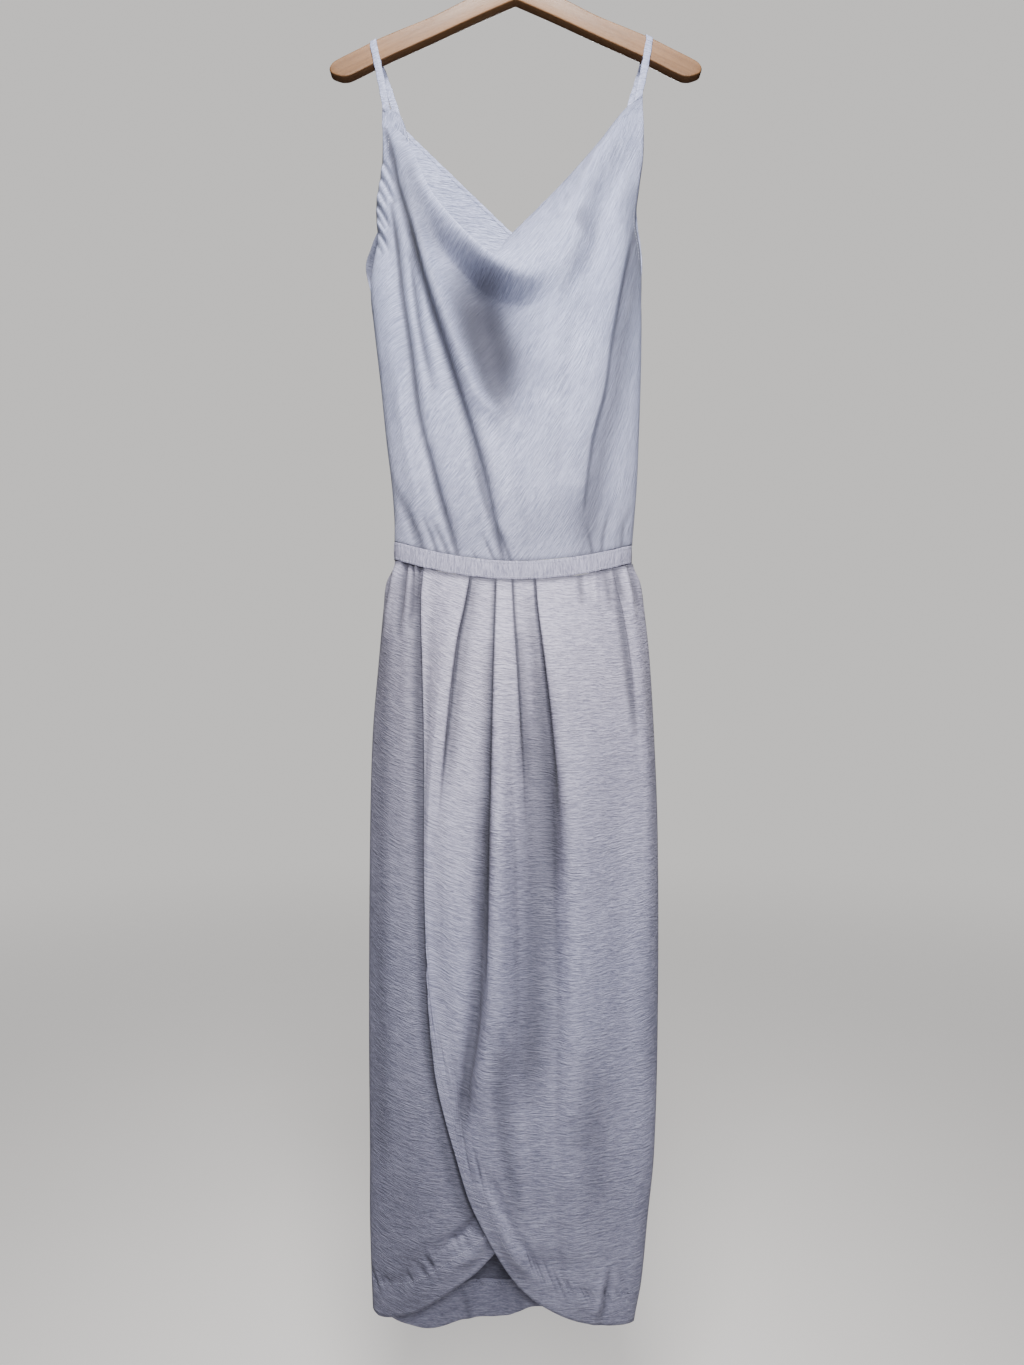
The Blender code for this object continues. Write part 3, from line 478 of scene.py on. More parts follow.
front_left_edge = [(200, -141, 12), (258, -141, 12), (307, -148, 9.5), (345, -147, 6.5), (372, -152, 3.6),
                   (396, -155, 1.2), (424, -153, seam_gap / 2)]
front_right_edge = [(187, 142, 12), (250, 143, 12), (285, 139, 10.5), (324, 135, 7.5), (355, 140, 4),
                    (385, 142, 1.4), (412, 141.7, seam_gap / 2)]
front_folds = [
    (-4, 7, [(-138, 216), (-129, 262), (-124, 290), (-110, 342), (-94, 403), (-61, 507), (-31, 603), (-20, 650)]),
    (11, 11, [(-112, 300), (-96, 370), (-79, 420), (-56, 476), (-33, 524), (-2, 562)]),
    (-13, 34, [(-40, 380), (-26, 430), (-17, 480), (-9, 540)]),
    (-10, 18, [(-38, 420), (-25, 476), (-13, 516), (0, 560)]),
    (-2.5, 7, [(-109, 376), (-97, 457), (-83, 515)]),
    (-3.5, 8, [(-122, 371), (-109, 470), (-99, 542), (-84, 602), (-62, 686)]),
    (7, 32, [(46, 330), (46, 400), (43, 470), (40, 530)]),
    (6, 31, [(46, 330), (46, 420), (42, 500), (34, 610)]),
    (4, 28, [(46, 330), (46, 440), (40, 560), (28, 680)]),
    (-0.9, 12, [(112, 232), (100, 262), (90, 292), (82, 324), (76, 352), (66, 380)]),
    (4, 22, [(112, 300), (98, 380), (84, 460), (68, 550)]),
    (-2.5, 9, [(62, 470), (52, 560), (44, 640)]),
]
front_tucks = [
    (6, 4.5, 30, [(-136, 212), (-124, 262), (-119, 290), (-104, 342), (-88, 403), (-55, 507), (-26, 603), (-7, 692)]),
    (8, 46, 4.5, [(137, 285), (134, 314), (127, 346), (117, 390), (109, 433), (104, 460), (96, 518), (83, 570),
        (74, 640)]),
]
# Finer folds: beside the armhole, the small crossing wrinkle in the hollow, and those pulled up by the gathers
fine_folds = [
    (-1.8, 4, [(-134, 222), (-126, 262), (-118, 300), (-112, 330)]),
    (1.6, 5, [(-130, 250), (-122, 300), (-112, 350), (-104, 400)]),
    (-1.8, 3.4, [(-109, 376), (-97, 457), (-83, 515)]),
    (1.6, 5, [(-102, 380), (-90, 457), (-76, 515)]),
    (-2.8, 3.2, [(-130, 314), (-122, 371), (-118, 409), (-109, 468), (-99, 541), (-84, 601), (-60, 689)]),
    (2.2, 4.5, [(-123, 318), (-115, 371), (-109, 420), (-101, 470), (-91, 541)]),
    (1.5, 5, [(-128, 470), (-121, 530), (-111, 590), (-98, 650)]),
    (-2.4, 5, [(-132, 600), (-122, 625), (-113, 648), (-104, 672), (-96, 705)]),
    (-2, 4, [(-116, 628), (-108, 650), (-98, 676), (-92, 705)]),
    (-1.9, 3.5, [(-94, 652), (-88, 666), (-80, 690), (-77, 710)]),
    (-2.2, 4, [(-84, 655), (-77, 670), (-66, 696), (-62, 715)]),
    (-2.6, 5, [(-88, 580), (-78, 625), (-67, 660), (-59, 690), (-56, 715)]),
    (-3, 5.5, [(-42, 580), (-31, 625), (-19, 662), (-11, 690), (-8, 715)]),
    (-1.8, 2.6, [(-30, 672), (-22, 690), (-16, 704), (-14, 722)]),
    (-1.6, 2.6, [(-16, 660), (-8, 680), (-2, 698), (0, 722)]),
    (-1.3, 2.6, [(-42, 686), (-37, 700), (-34, 722)]),
    (-1, 3, [(80, 660), (86, 690), (88, 720)]),
    (-1.2, 3, [(106, 640), (98, 668), (94, 715)]),
    (1.3, 3.4, [(116, 640), (110, 668), (108, 710)]),
    (-1.4, 3, [(126, 640), (120, 660), (117, 705)]),
]
front_puckers = [
    (262, 15, -2.4, 1.8), (270, 10, 1.2, 2), (279, 21, -3, 2), (292, 13, -2, 1.7), (300, 9, 1.4, 2.2),
    (308, 19, -2.9, 2.1), (320, 11, -2, 1.7), (328, 14, 1.4, 2), (336, 17, -2.6, 2), (350, 10, -1.6, 1.8)]
# Painted shade where the cloth lies deepest: how dark, how wide, and the (x, drop) points it follows
front_painted_shade = [
    (0.65, 24, [(-42, 384), (-35, 422), (-28, 460), (-18, 486)]),
    (1.1, 13, [(-58, 396), (-48, 432), (-36, 470), (-23, 504), (-8, 545)]),
    (2.1, 18, [(-32, 412), (-30, 434), (-24, 458), (-16, 482), (-9, 506)]),
    (0.6, 13, [(-116, 262), (-106, 296), (-93, 332), (-77, 360), (-56, 388)]),
    (0.8, 3.2, [(-140, 206), (-129, 262), (-124, 290), (-110, 342), (-97, 390)]),
    (0.45, 9, [(-112, 320), (-96, 383), (-64, 487), (-38, 572), (-20, 640)]),
    (0.3, 3.6, [(-106, 350), (-93, 403), (-60, 507), (-34, 592)]),
    (0.3, 5, [(-109, 376), (-97, 457), (-83, 515)]),
    (0.35, 5.5, [(-131, 314), (-123, 371), (-119, 409), (-110, 468), (-100, 541), (-84, 605)]),
    (0.75, 12, [(141, 300), (138, 346), (131, 390), (123, 433), (118, 460), (110, 518), (97, 570), (86, 630),
        (76, 690)]),
]
# Each crease at the waist gets a thin line of painted shade
front_painted_shade += [(0.55, 0.7 * width, path) for out, width, path in fine_folds if out < 0 and path[-1][1] > 680]


def tucked_folds(x, drop, folds):
    """Height of folds with one steep side: for each its height, the widths of its two flanks and its path."""
    total = np.zeros(np.broadcast(x, drop).shape)
    for out, left, right, path in folds:
        across, inside = across_path(path, x, drop)
        flank = np.where(across < 0, left, right)
        total += out * ease(1 - np.abs(across) / flank) * ease((inside + 25) / 50)
    return total


across, inner, down = 190, 16, 190
even = np.linspace(0, 1, across)[None, :]
shares = even - np.sin(even * math.tau) * 0.5 / math.tau
lip_x, lip_drop, lip_depth = read(cowl_lip, shares)
edge_x, edge_drop, edge_depth = read(neck_edge, shares)
part = np.linspace(0, 0.95, inner)[:, None]
cowl = np.stack([edge_x + (lip_x - edge_x) * part,
                 -(edge_depth + (lip_depth - edge_depth) * np.sin(part * math.pi / 2)),
                 -(edge_drop + (lip_drop - edge_drop) * part)], axis=2)
# Its edge is drawn into short ripples by the narrow hem
rippled = np.sin(edge_x * 0.42 - part * 4 + 2.2 * np.sin(edge_x * 0.11))
cowl[..., 1] += 0.9 * (1 - part) ** 1.5 * rippled * ease(part * 8)
falls = (np.linspace(0, 1, down) ** 1.12)[:, None]
lip_start, lip_end = cowl_lip[0], cowl_lip[-1]
left = body_side(front_left_edge, 0, lip_start[2], falls)
right = body_side(front_right_edge, 1, lip_end[2], falls)
lip_share = (lip_x - lip_start[1]) / (lip_end[1] - lip_start[1])
x = left[0] + (right[0] - left[0]) * (lip_share + (shares - lip_share) * ease(falls * 1.5))
drop = lip_drop + (band_top(x, -1) - bodice_end - lip_drop) * falls
folds = soft_folds(x, drop, front_folds + fine_folds) + tucked_folds(x, drop, front_tucks)
hung = hanging_depth(x, left, right, read(body, drop)[2], folds)
lip_line = read(cowl_lip, np.linspace(0, 1, 90))
starts, runs = lip_line[:2, :-1], np.diff(lip_line[:2], axis=1)
along = ((x[..., None] - starts[0]) * runs[0] + (drop[..., None] - starts[1]) * runs[1]) / (runs ** 2).sum(axis=0)
along = np.clip(along, 0, 1)
away = np.hypot(x[..., None] - starts[0] - along * runs[0], drop[..., None] - starts[1] - along * runs[1])
nearest = away.argmin(axis=2)
picked = np.take_along_axis(along, nearest[..., None], axis=2)[..., 0]
stand = lip_line[2][nearest] + (lip_line[2][nearest + 1] - lip_line[2][nearest]) * picked
depth = stand + (hung - stand) * ease(away.min(axis=2) / 30)
rim = 1.3 * soft_folds(x, drop, puckers(front_left_edge, front_puckers, 1))
# The tab that the left strap is sewn to joins the bodice in a short seam
on_tab = ease((x + 127) / 4) * ease((-106 - x) / 4)
rim = rim + on_tab * (0.8 * np.exp(-((drop - 239) / 1.4) ** 2) - 0.6 * np.exp(-((drop - 242.5) / 1.6) ** 2))
depth = depth + rim
front_grid = np.concatenate([cowl, np.stack([x, -depth, -drop], axis=2)])
# Painted shade along the listed lines, faded out close to the lip
shadows = soft_folds(x, drop, front_painted_shade) * ease((away.min(axis=2) - 1) / 8)
# The painted shade in the folds is lighter along the long creases in their lower half, at the right more than at the
# left
less_painted_shade = 0.75 * ease((x - 40) / 20) * ease((drop - 430) / 70) + 0.45 * ease((30 - x) / 30) * ease((drop - 500) / 90)
shadows += sunk_painted_shade(x, folds + 1.4 * rim) * (1 - less_painted_shade)
# Painted shade darkens the cloth as it turns in towards the waist, with a painted shadow line along its foot above
# the waistband
shadows += 0.14 * ease((drop - 600) / 80) + 0.5 * np.exp(-((drop[-1] - drop) / 2.5) ** 2)
# The inner cowl is painted a little darker towards its neck edge
shadows = np.concatenate([0.2 * ease(1 - part) + 0 * edge_x, shadows])
# The slubs lie along the bias: their slope, read from x
bias = [(-150, 1), (-60, 1.1), (0, 1.2), (60, 1.6), (110, 2.2), (150, 2.5)]
front_cloth = grain(front_grid, bias, across // 2)
bodice_front = cloth_piece("bodice_front", front_grid, front_cloth, shadows, bodice_crepe,
                           [("top", 4), ("left", 2), ("right", 2)])
front_stitches = [stitched_row(f"bodice_front_{edge}_arm_stitches", front_grid, np.s_[22:90, column], "bodice_front")
                  for edge, column in (("left", 4), ("right", -5))]

# The waistband is a straight strip of crepe folded over a stiffening, in a front and a back half.
# Both long edges are top-stitched, and the strip ripples a little where the skirt is pleated into it.


def closed_tube(node, grid, coordinates, finish):
    """A closed sleeve of cloth: each row of the grid runs along it, and the rows go once round its section."""
    round_it, along_it = grid.shape[:2]
    index = np.arange(round_it * along_it).reshape(round_it, along_it)
    after = np.roll(index, -1, axis=0)
    faces = np.stack([index[:, :-1], after[:, :-1], after[:, 1:], index[:, 1:]], axis=2).reshape(-1, 4).tolist()
    ends = [index[:, 0].tolist(), index[::-1, -1].tolist()]
    piece = add_mesh(node + "_crepe", grid, faces + ends, finish, node)
    data = piece.data
    lay_grain(data, coordinates)
    shape = bmesh.new()
    shape.from_mesh(data)
    bmesh.ops.recalc_face_normals(shape, faces=shape.faces)
    shape.to_mesh(data)
    shape.free()
    data.set_sharp_from_angle(angle=math.radians(75))
    return piece


def oval(body_row, turn, side):
    """The plain oval of the dress at an angle from its middle: the place across and the depth."""
    left, right, front, back = body_row
    reach = front if side < 0 else back
    depth = seam_gap / 2 + (reach - seam_gap / 2) * np.maximum(np.cos(turn), 0) ** bluntness
    return left + (right - left) * (1 + np.sin(turn)) / 2, depth


# The section of the folded strip: how far down from its top and how far out
band_section = [
    (0.15, 0), (0.3, 0.75), (0.9, 1.05), (2.6, 0.85), (4, 1), (7, 1.15), (10, 1.2), (13, 1.15), (16, 1),
    (17.4, 0.85), (19.1, 1.05), (19.7, 0.75), (19.85, 0), (19.7, -0.75), (19.1, -1), (13, -1.05), (7, -1.05),
    (0.9, -1), (0.3, -0.75)]


def waistband(node, side):
    """Half of the waistband as a flattened tube of cloth round its stiffening."""
    x, depth = oval(read(body, 690), np.linspace(-1, 1, 200) * -side * math.pi / 2, side)
    # The front half stands out over the pleats, and stays close at the sides
    pleated = ease((x + 120) / 40) * ease((120 - x) / 50) if side < 0 else 0
    middle = np.stack([x, side * (depth + 0.4 + 2.6 * pleated), -band_top(x, side)], axis=1)
    along = np.gradient(middle, axis=0)
    out = unit(np.stack([along[:, 1], -along[:, 0], along[:, 0] * 0], axis=1))
    walk = np.cumsum(np.linalg.norm(along, axis=1))
    rows = []
    for down, proud in band_section:
        ripple = 0.22 * wave(walk, 0.31, 1.4, 0.07)
        ripple = ripple + 0.07 * np.sin(walk * 0.83 + 2 * np.sin(walk * 0.11) + down * 0.1)
        if side < 0:
            # The strip is joined to the left of the middle, where its end laps over the other by a cloth's thickness
            ripple = ripple + 0.5 * ease((-44 - x) / 1.5) * ease((x + 60) / 14)
        fine = ripple * (0.35 + 0.65 * ease(down / 5) * ease((20 - down) / 5)) if proud > 0.6 else 0 * walk
        shift = (0.16 * np.sin(walk * 0.24 + 2) + 0.1 * np.sin(walk * 0.71)) * (down > 9)
        rows.append(middle + out * (proud + fine)[:, None] - np.array([0, 0, 1]) * (down + shift)[:, None])
    grid = np.array(rows)
    coordinates = np.stack(np.broadcast_arrays(grid[..., 2], walk), axis=2) / 1000
    made = closed_tube(node, grid, coordinates, band_crepe)
    rows = [stitches(f"{node}_crepe_{place}_stitches", grid[row], out, node)
            for place, row in (("upper", 3), ("lower", 9))]


band_crepe = crepe("waistband crepe", (0.33, 0.335, 0.475), (0.15, 0.155, 0.24), 1.3)
waistband("waistband_front", -1)
waistband("waistband_back", 1)

# The back of the skirt is one panel gathered into the waistband, hanging in long soft folds.
# Its hem is turned up, stitched and slightly puckered, and shows its inside under the front.
back_hem = [(-153, 1515), (-124, 1537), (-93, 1547), (-50, 1536), (-7, 1534), (26, 1522), (70, 1530), (133, 1527)]
back_skirt_folds = [
    (6, 17, [(-88, 700), (-92, 900), (-100, 1150), (-98, 1420), (-96, 1550)]),
    (-4, 13, [(-52, 720), (-56, 900), (-60, 1100), (-58, 1300)]),
    (5, 16, [(-14, 700), (-18, 920), (-20, 1200), (-26, 1400), (-30, 1540)]),
    (-4.5, 12, [(28, 715), (32, 900), (40, 1150), (30, 1400), (26, 1530)]),
    (6, 17, [(72, 700), (80, 920), (90, 1150), (88, 1350), (80, 1520)]),
    (-3.5, 11, [(112, 730), (122, 900), (124, 1100)]),
]
back_hem_folds = [
    (2.2, 9, [(-96, 1490), (-104, 1516), (-112, 1552)]),
    (-2, 6, [(-56, 1500), (-50, 1520), (-46, 1550)]),
    (1.6, 8, [(-20, 1496), (-14, 1520), (-10, 1550)]),
    (-1.4, 6, [(6, 1500), (10, 1520), (12, 1545)]),
]
back_waist_gathers = [
    (-121, 42, 1.3, 3), (-112, 66, -1.5, 3.2), (-103, 48, 1.6, 3.2), (-93, 90, -1.5, 3.6), (-82, 56, 1.5, 3.4),
    (-72, 78, -1.4, 3.4), (-61, 44, 1.3, 3), (-51, 96, -1.6, 3.6), (-39, 60, 1.5, 3.4), (-28, 48, -1.3, 3.2),
    (-17, 84, 1.5, 3.6), (-5, 52, -1.4, 3.2), (7, 66, 1.4, 3.4), (18, 94, -1.6, 3.6), (30, 46, 1.3, 3.2),
    (41, 72, -1.4, 3.4), (52, 54, 1.5, 3.4), (63, 88, -1.5, 3.6), (75, 50, 1.4, 3.2), (85, 70, -1.4, 3.4),
    (96, 44, 1.3, 3), (106, 62, -1.4, 3.2), (117, 40, 1.2, 3)]


def gathers_below(rows):
    """Short folds that run down the back from the waistband: x, how far down, height and width of each."""
    made = []
    for x, reach, out, width in rows:
        top = float(band_top(x, 1)) + 20
        spread = x * 0.00045 * reach
        made.append((out, width, [(x, top - 14), (x + spread * 0.4, top + reach * 0.4), (x + spread, top + reach)]))
    return made


def on_body(drop, x, side, out):
    """Places on the skirt that stand so far out from its plain oval."""
    row = read(body, drop)
    turn = np.arcsin(np.clip(2 * (x - row[0]) / (row[1] - row[0]) - 1, -1, 1))
    here = oval(row, turn, side)
    # The oval's direction there, from a little to each side
    little = 0.0157
    ahead = oval(row, np.minimum(turn + little, math.pi / 2), side)
    behind = oval(row, np.maximum(turn - little, -math.pi / 2), side)
    run, rise = ahead[0] - behind[0], ahead[1] - behind[1]
    length = np.hypot(run, rise)
    return np.stack([here[0] - rise / length * out, side * (here[1] + run / length * out), -drop], axis=-1)


def puckered_hem(x, above, reach, strength=1.9):
    """Small slanting puckers that a hem's stitching draws up, in the groove along the stitched line."""
    near = np.exp(-((above - reach) / 9.0) ** 2)
    slant = x + 0.6 * above
    uneven = 0.55 + 0.45 * np.sin(x * 0.07 + 1) * np.sin(x * 0.19)
    puckered = wave(slant, 0.42, 2.6, 0.09) + 0.6 * wave(slant, 0.97, 2, 0.13)
    groove = 1.3 * np.exp(-((above - reach * 0.5) / 12) ** 2) - 1.2 * np.exp(-((above - reach) / 6) ** 2)
    return strength * near * uneven * puckered + groove * (0.6 + 0.4 * np.sin(x * 0.06 + 2))


across, down = 130, 210
turn = np.linspace(math.pi / 2, -math.pi / 2, across)[None, :]
falls = (np.linspace(0, 1, down) ** 1.12)[:, None]
top_x = oval(read(body, 700), turn, 1)[0]
hem_x = -152 + 284 * (1 + np.sin(turn)) / 2
top = band_top(top_x, 1) + skirt_start
foot = read(back_hem, hem_x)[0]
drop = top + (foot - top) * falls
left, right = read(body, drop)[:2]
x = left + (right - left) * (1 + np.sin(turn)) / 2
inside = ease(np.minimum(x - left, right - x) / 6)
folds = soft_folds(x, drop, back_skirt_folds + gathers_below(back_waist_gathers))
folds = folds + puckered_hem(x, foot - drop, 38.0, 0.7) + soft_folds(x, drop, back_hem_folds)
back_skirt_grid = on_body(drop, x, 1, folds * inside)
back_skirt_cloth = grain(back_skirt_grid, [(-160, 0.05), (0, 0.0), (160, -0.05)], across // 2)
skirt_crepe = crepe("skirt crepe", (0.375, 0.375, 0.515), (0.175, 0.178, 0.265), 1.3)
# The back skirt is painted darker in its folds, and darker still on its inside
skirt_back = cloth_piece("skirt_back", back_skirt_grid, back_skirt_cloth, sunk_painted_shade(x, folds), skirt_crepe,
                         [("foot", 9)], 0.6)
# The hem's stitches show outside, and inside beside a second row along the turned edge
line, below, out = back_skirt_grid[-9], back_skirt_grid[-8], outward(back_skirt_grid)[-9]
back_hem_stitches = [
    stitches("skirt_back_hem_stitches", line, out, "skirt_back"),
    stitches("skirt_back_hem_inner_stitches", line - 0.55 * out, -out, "skirt_back"),
    stitches("skirt_back_hem_edge_stitches", 0.4 * line + 0.6 * below - 0.55 * out, -out, "skirt_back")]

# The under panel of the wrap runs from the left side seam across behind the other one.
# It is gathered at the waist near its seam, and its curved hem is turned up and stitched.
under_edge = [(690, 95), (1040, 94), (1145, 90), (1202, 85.4)]
under_hem = [
    (-153, 1513), (-144, 1518), (-121, 1515), (-103, 1509), (-87, 1499), (-54, 1474), (-39, 1462), (-20, 1441),
    (6, 1409), (27, 1378), (45, 1340), (60, 1298), (71, 1256), (85.4, 1202)]
under_folds = [
    (2.6, 8, [(-109, 720), (-111, 790), (-113, 900), (-116, 1020)]),
    (-2.2, 6, [(-101, 715), (-101, 790), (-103, 860)]),
    (2, 9, [(-122, 745), (-128, 790), (-134, 860)]),
    (-5, 6, [(-34, 1396), (-46, 1412), (-72, 1434)]),
    (4, 8, [(-26, 1412), (-40, 1438), (-66, 1460)]),
    (-6, 3.8, [(-115, 680), (-117, 712), (-119, 738), (-122, 775)]),
    (4.5, 3.6, [(-121, 680), (-125, 705), (-131, 740), (-137, 780)]),
    (-6, 3, [(-109, 684), (-107, 706), (-106, 728), (-108, 770)]),
    (3.6, 2.8, [(-104, 686), (-104, 710), (-105, 745)]),
    (-4, 2.6, [(-99, 688), (-101, 712), (-104, 755)]),
    (-4.5, 3.2, [(-128, 676), (-132, 700), (-138, 745)]),
    (1.2, 11, [(-128, 850), (-132, 1000), (-134, 1200)]),
    (-1, 10, [(-146, 800), (-149, 1000), (-149, 1250)]),
    (1.6, 10, [(-70, 1390), (-88, 1420), (-112, 1446)]),
    (-1.4, 7, [(-96, 1440), (-112, 1462), (-126, 1490)]),
]


def hang_panel(columns, hem, count, lift, folds, tucks, painted_shade, reach):
    """Points and painted shade of a skirt panel, whose columns run from the waistband down to its curved hem."""
    falls = np.linspace(0, 1, count) ** 1.1
    lines = []
    for column in columns:
        top = 700.0
        # The column leans, so both its ends are closed in on step by step
        for _ in range(6):
            top = float(band_top(column(np.array([top]))[0][0], -1)) + skirt_start
        low, high = 1150.0, 1560.0
        for _ in range(20):
            middle = (low + high) / 2
            if read(hem, column(np.array([middle]))[0])[0][0] > middle:
                low = middle
            else:
                high = middle
        drop = top + (low - top) * falls
        x, height = column(drop)
        lines.append((drop, x, height))
    drop, x, height = [np.stack(values, axis=1) for values in zip(*lines)]
    left, right = read(body, drop)[:2]
    inside = ease(np.minimum(x - left, right - x) / 5)
    shaped = soft_folds(x, drop, folds) + tucked_folds(x, drop, tucks)
    # Where the hem slopes, the way to it is shorter than the way straight down
    level = np.maximum(1 / np.hypot(1, np.gradient(drop[-1]) / np.maximum(np.abs(np.gradient(x[-1])), 0.2)), 0.5)
    level = np.convolve(np.pad(level, 4, "edge"), np.ones(9) / 9, "valid")
    shaped = shaped + puckered_hem(x, (drop[-1] - drop) * level, reach)
    out = height + shaped * inside
    if lift:
        # The upper panel doesn't dip into the one below it
        out = 1.2 * np.logaddexp(0, out / 1.2)
    # Painted shade along the listed lines, a painted shadow under the waistband's lower edge, and painted shade in
    # the folds
    shades = soft_folds(x, drop, painted_shade) + 1.2 * np.exp(-((drop - drop[0]) / 3.0) ** 2)
    return on_body(drop, x, -1, lift + out), shades + sunk_painted_shade(x, out, 2.4)


def between(first, second, count):
    """Columns between two others, evenly spread."""
    made = []
    for share in np.arange(1, count + 1) / (count + 1):

        def column(drop, share=share):
            (x0, h0), (x1, h1) = first(drop), second(drop)
            return x0 + (x1 - x0) * share, h0 + (h1 - h0) * ease(share)
        made.append(column)
    return made


def left_seam(drop):
    return read(body, drop)[0], drop * 0


def under_inner(drop):
    return read(under_edge, drop)[0], drop * 0


columns = [left_seam, *between(left_seam, under_inner, 140), under_inner]
# Painted shade on the under panel: a shadow line beside the over panel's wrap edge, darker gathers and folds, and a
# darker left part: how dark, how wide, and the (x, drop) points each follows
under_painted_shade = [
    (1.8, 1.8, [(-94, 702), (-96.5, 740), (-94.5, 806), (-92.5, 904), (-92.5, 1040), (-89.5, 1145), (-87, 1202),
        (-82, 1247), (-73, 1288), (-62.5, 1328), (-48, 1379), (-30, 1417)]),
    (0.6, 2.4, [(-117, 700), (-119, 724), (-123, 770)]),
    (0.6, 2.2, [(-107, 700), (-107, 722), (-109, 765)]),
    (0.5, 2.2, [(-131, 700), (-134, 718), (-139, 742)]),
    (0.5, 2, [(-101, 700), (-102, 716), (-105, 745)]),
    (1, 5.5, [(-96, 705), (-99, 780), (-98, 900), (-96, 1040), (-93, 1150), (-89, 1210), (-80, 1270)]),
    (0.42, 60, [(-130, 690), (-130, 1000), (-130, 1300), (-110, 1540)]),
    (0.35, 10, [(-134, 760), (-138, 900), (-140, 1100), (-140, 1350)]),
    (0.5, 9, [(-80, 1250), (-70, 1320), (-50, 1390), (-24, 1430)]),
]
under_grid, shadows = hang_panel(columns, under_hem, 200, 0.0, under_folds, [], under_painted_shade, 38.0)
bias = [(-160, -0.52), (-128, -0.42), (-104, -0.26), (-84, -0.1), (0, 0), (100, 0)]
under_cloth = grain(under_grid, bias, 30)
skirt_under = cloth_piece("skirt_under_panel", under_grid, under_cloth, shadows, skirt_crepe,
                          [("foot", 8), ("right", 3)])
under_stitches = stitched_row("skirt_under_hem_stitches", under_grid, np.s_[-9, :126], "skirt_under_panel")

# The over panel crosses in front, with four pleats laid into the waistband and a soft fold by its seam.
# Its free edge and hem are one long curve, and its hem stitching draws the cloth into fine puckers.
# Each pleat row: drop, where its edge lies, half its width, how far it turns back, how far it stands out
pleat_a = [
    (700, -42, 5, 4, 3.6), (740, -48, 6, 4.6, 7.6), (785, -56, 7, 5, 11), (850, -64, 9, 4.6, 11.5),
    (945, -74, 10, 1, 6.4), (1040, -78, 9, 0, 1.8), (1150, -78, 7, 0, 0.6), (1290, -74, 5, 0, 0.2)]
pleat_b = [
    (700, -16, 4.4, 3.4, 3.4), (750, -17, 4.6, 3.8, 6.4), (840, -19, 6, 5, 11), (972, -22, 9, 5.4, 15),
    (1100, -24, 12, 4.4, 15), (1190, -29, 15, 2, 11), (1300, -43, 16, 0, 6), (1400, -34, 14, 0, 2)]
pleat_c = [
    (700, -1, 4.4, 3.4, 3.4), (750, 1, 4.6, 3.8, 6), (795, 4, 6, 4.4, 8.5), (867, 8, 8, 2.6, 8.5),
    (935, 11, 9, 0, 6), (1020, 15, 9, 0, 3.5), (1150, 17, 9, 0, 2), (1300, 15, 9, 0, 2), (1400, 20, 9, 0, 1.6),
    (1480, 30, 9, 0, 1)]
pleat_d = [
    (700, 24, 5, 4, 3.4), (750, 27, 6, 4.6, 7.4), (801, 33, 8, 5, 11), (870, 41, 10, 4.6, 13), (938, 47, 12, 3, 13),
    (1040, 54, 15, 0, 10.5), (1246, 55, 17, 0, 6), (1400, 58, 17, 0, 2), (1510, 62, 16, 0, 1)]
side_fold = [
    (698, 107, 5, 1.5, 1.8), (742, 115, 6, 2.4, 4.6), (817, 126, 6, 2.2, 5.6), (938, 136, 6, 0, 3.2),
    (1100, 138, 6, 0, 1), (1400, 128, 6, 0, 0.6), (1520, 116, 5, 0, 0.4)]
wrap_edge = [(690, -92), (740, -95), (806, -93), (904, -91), (1040, -91), (1145, -88), (1202, -85.4)]
over_hem = [
    (-85.4, 1202), (-80, 1247), (-71, 1288), (-60, 1328), (-45, 1379), (-27, 1417), (-6, 1456), (14, 1481),
    (34, 1498), (61, 1513), (98, 1523), (133, 1526)]
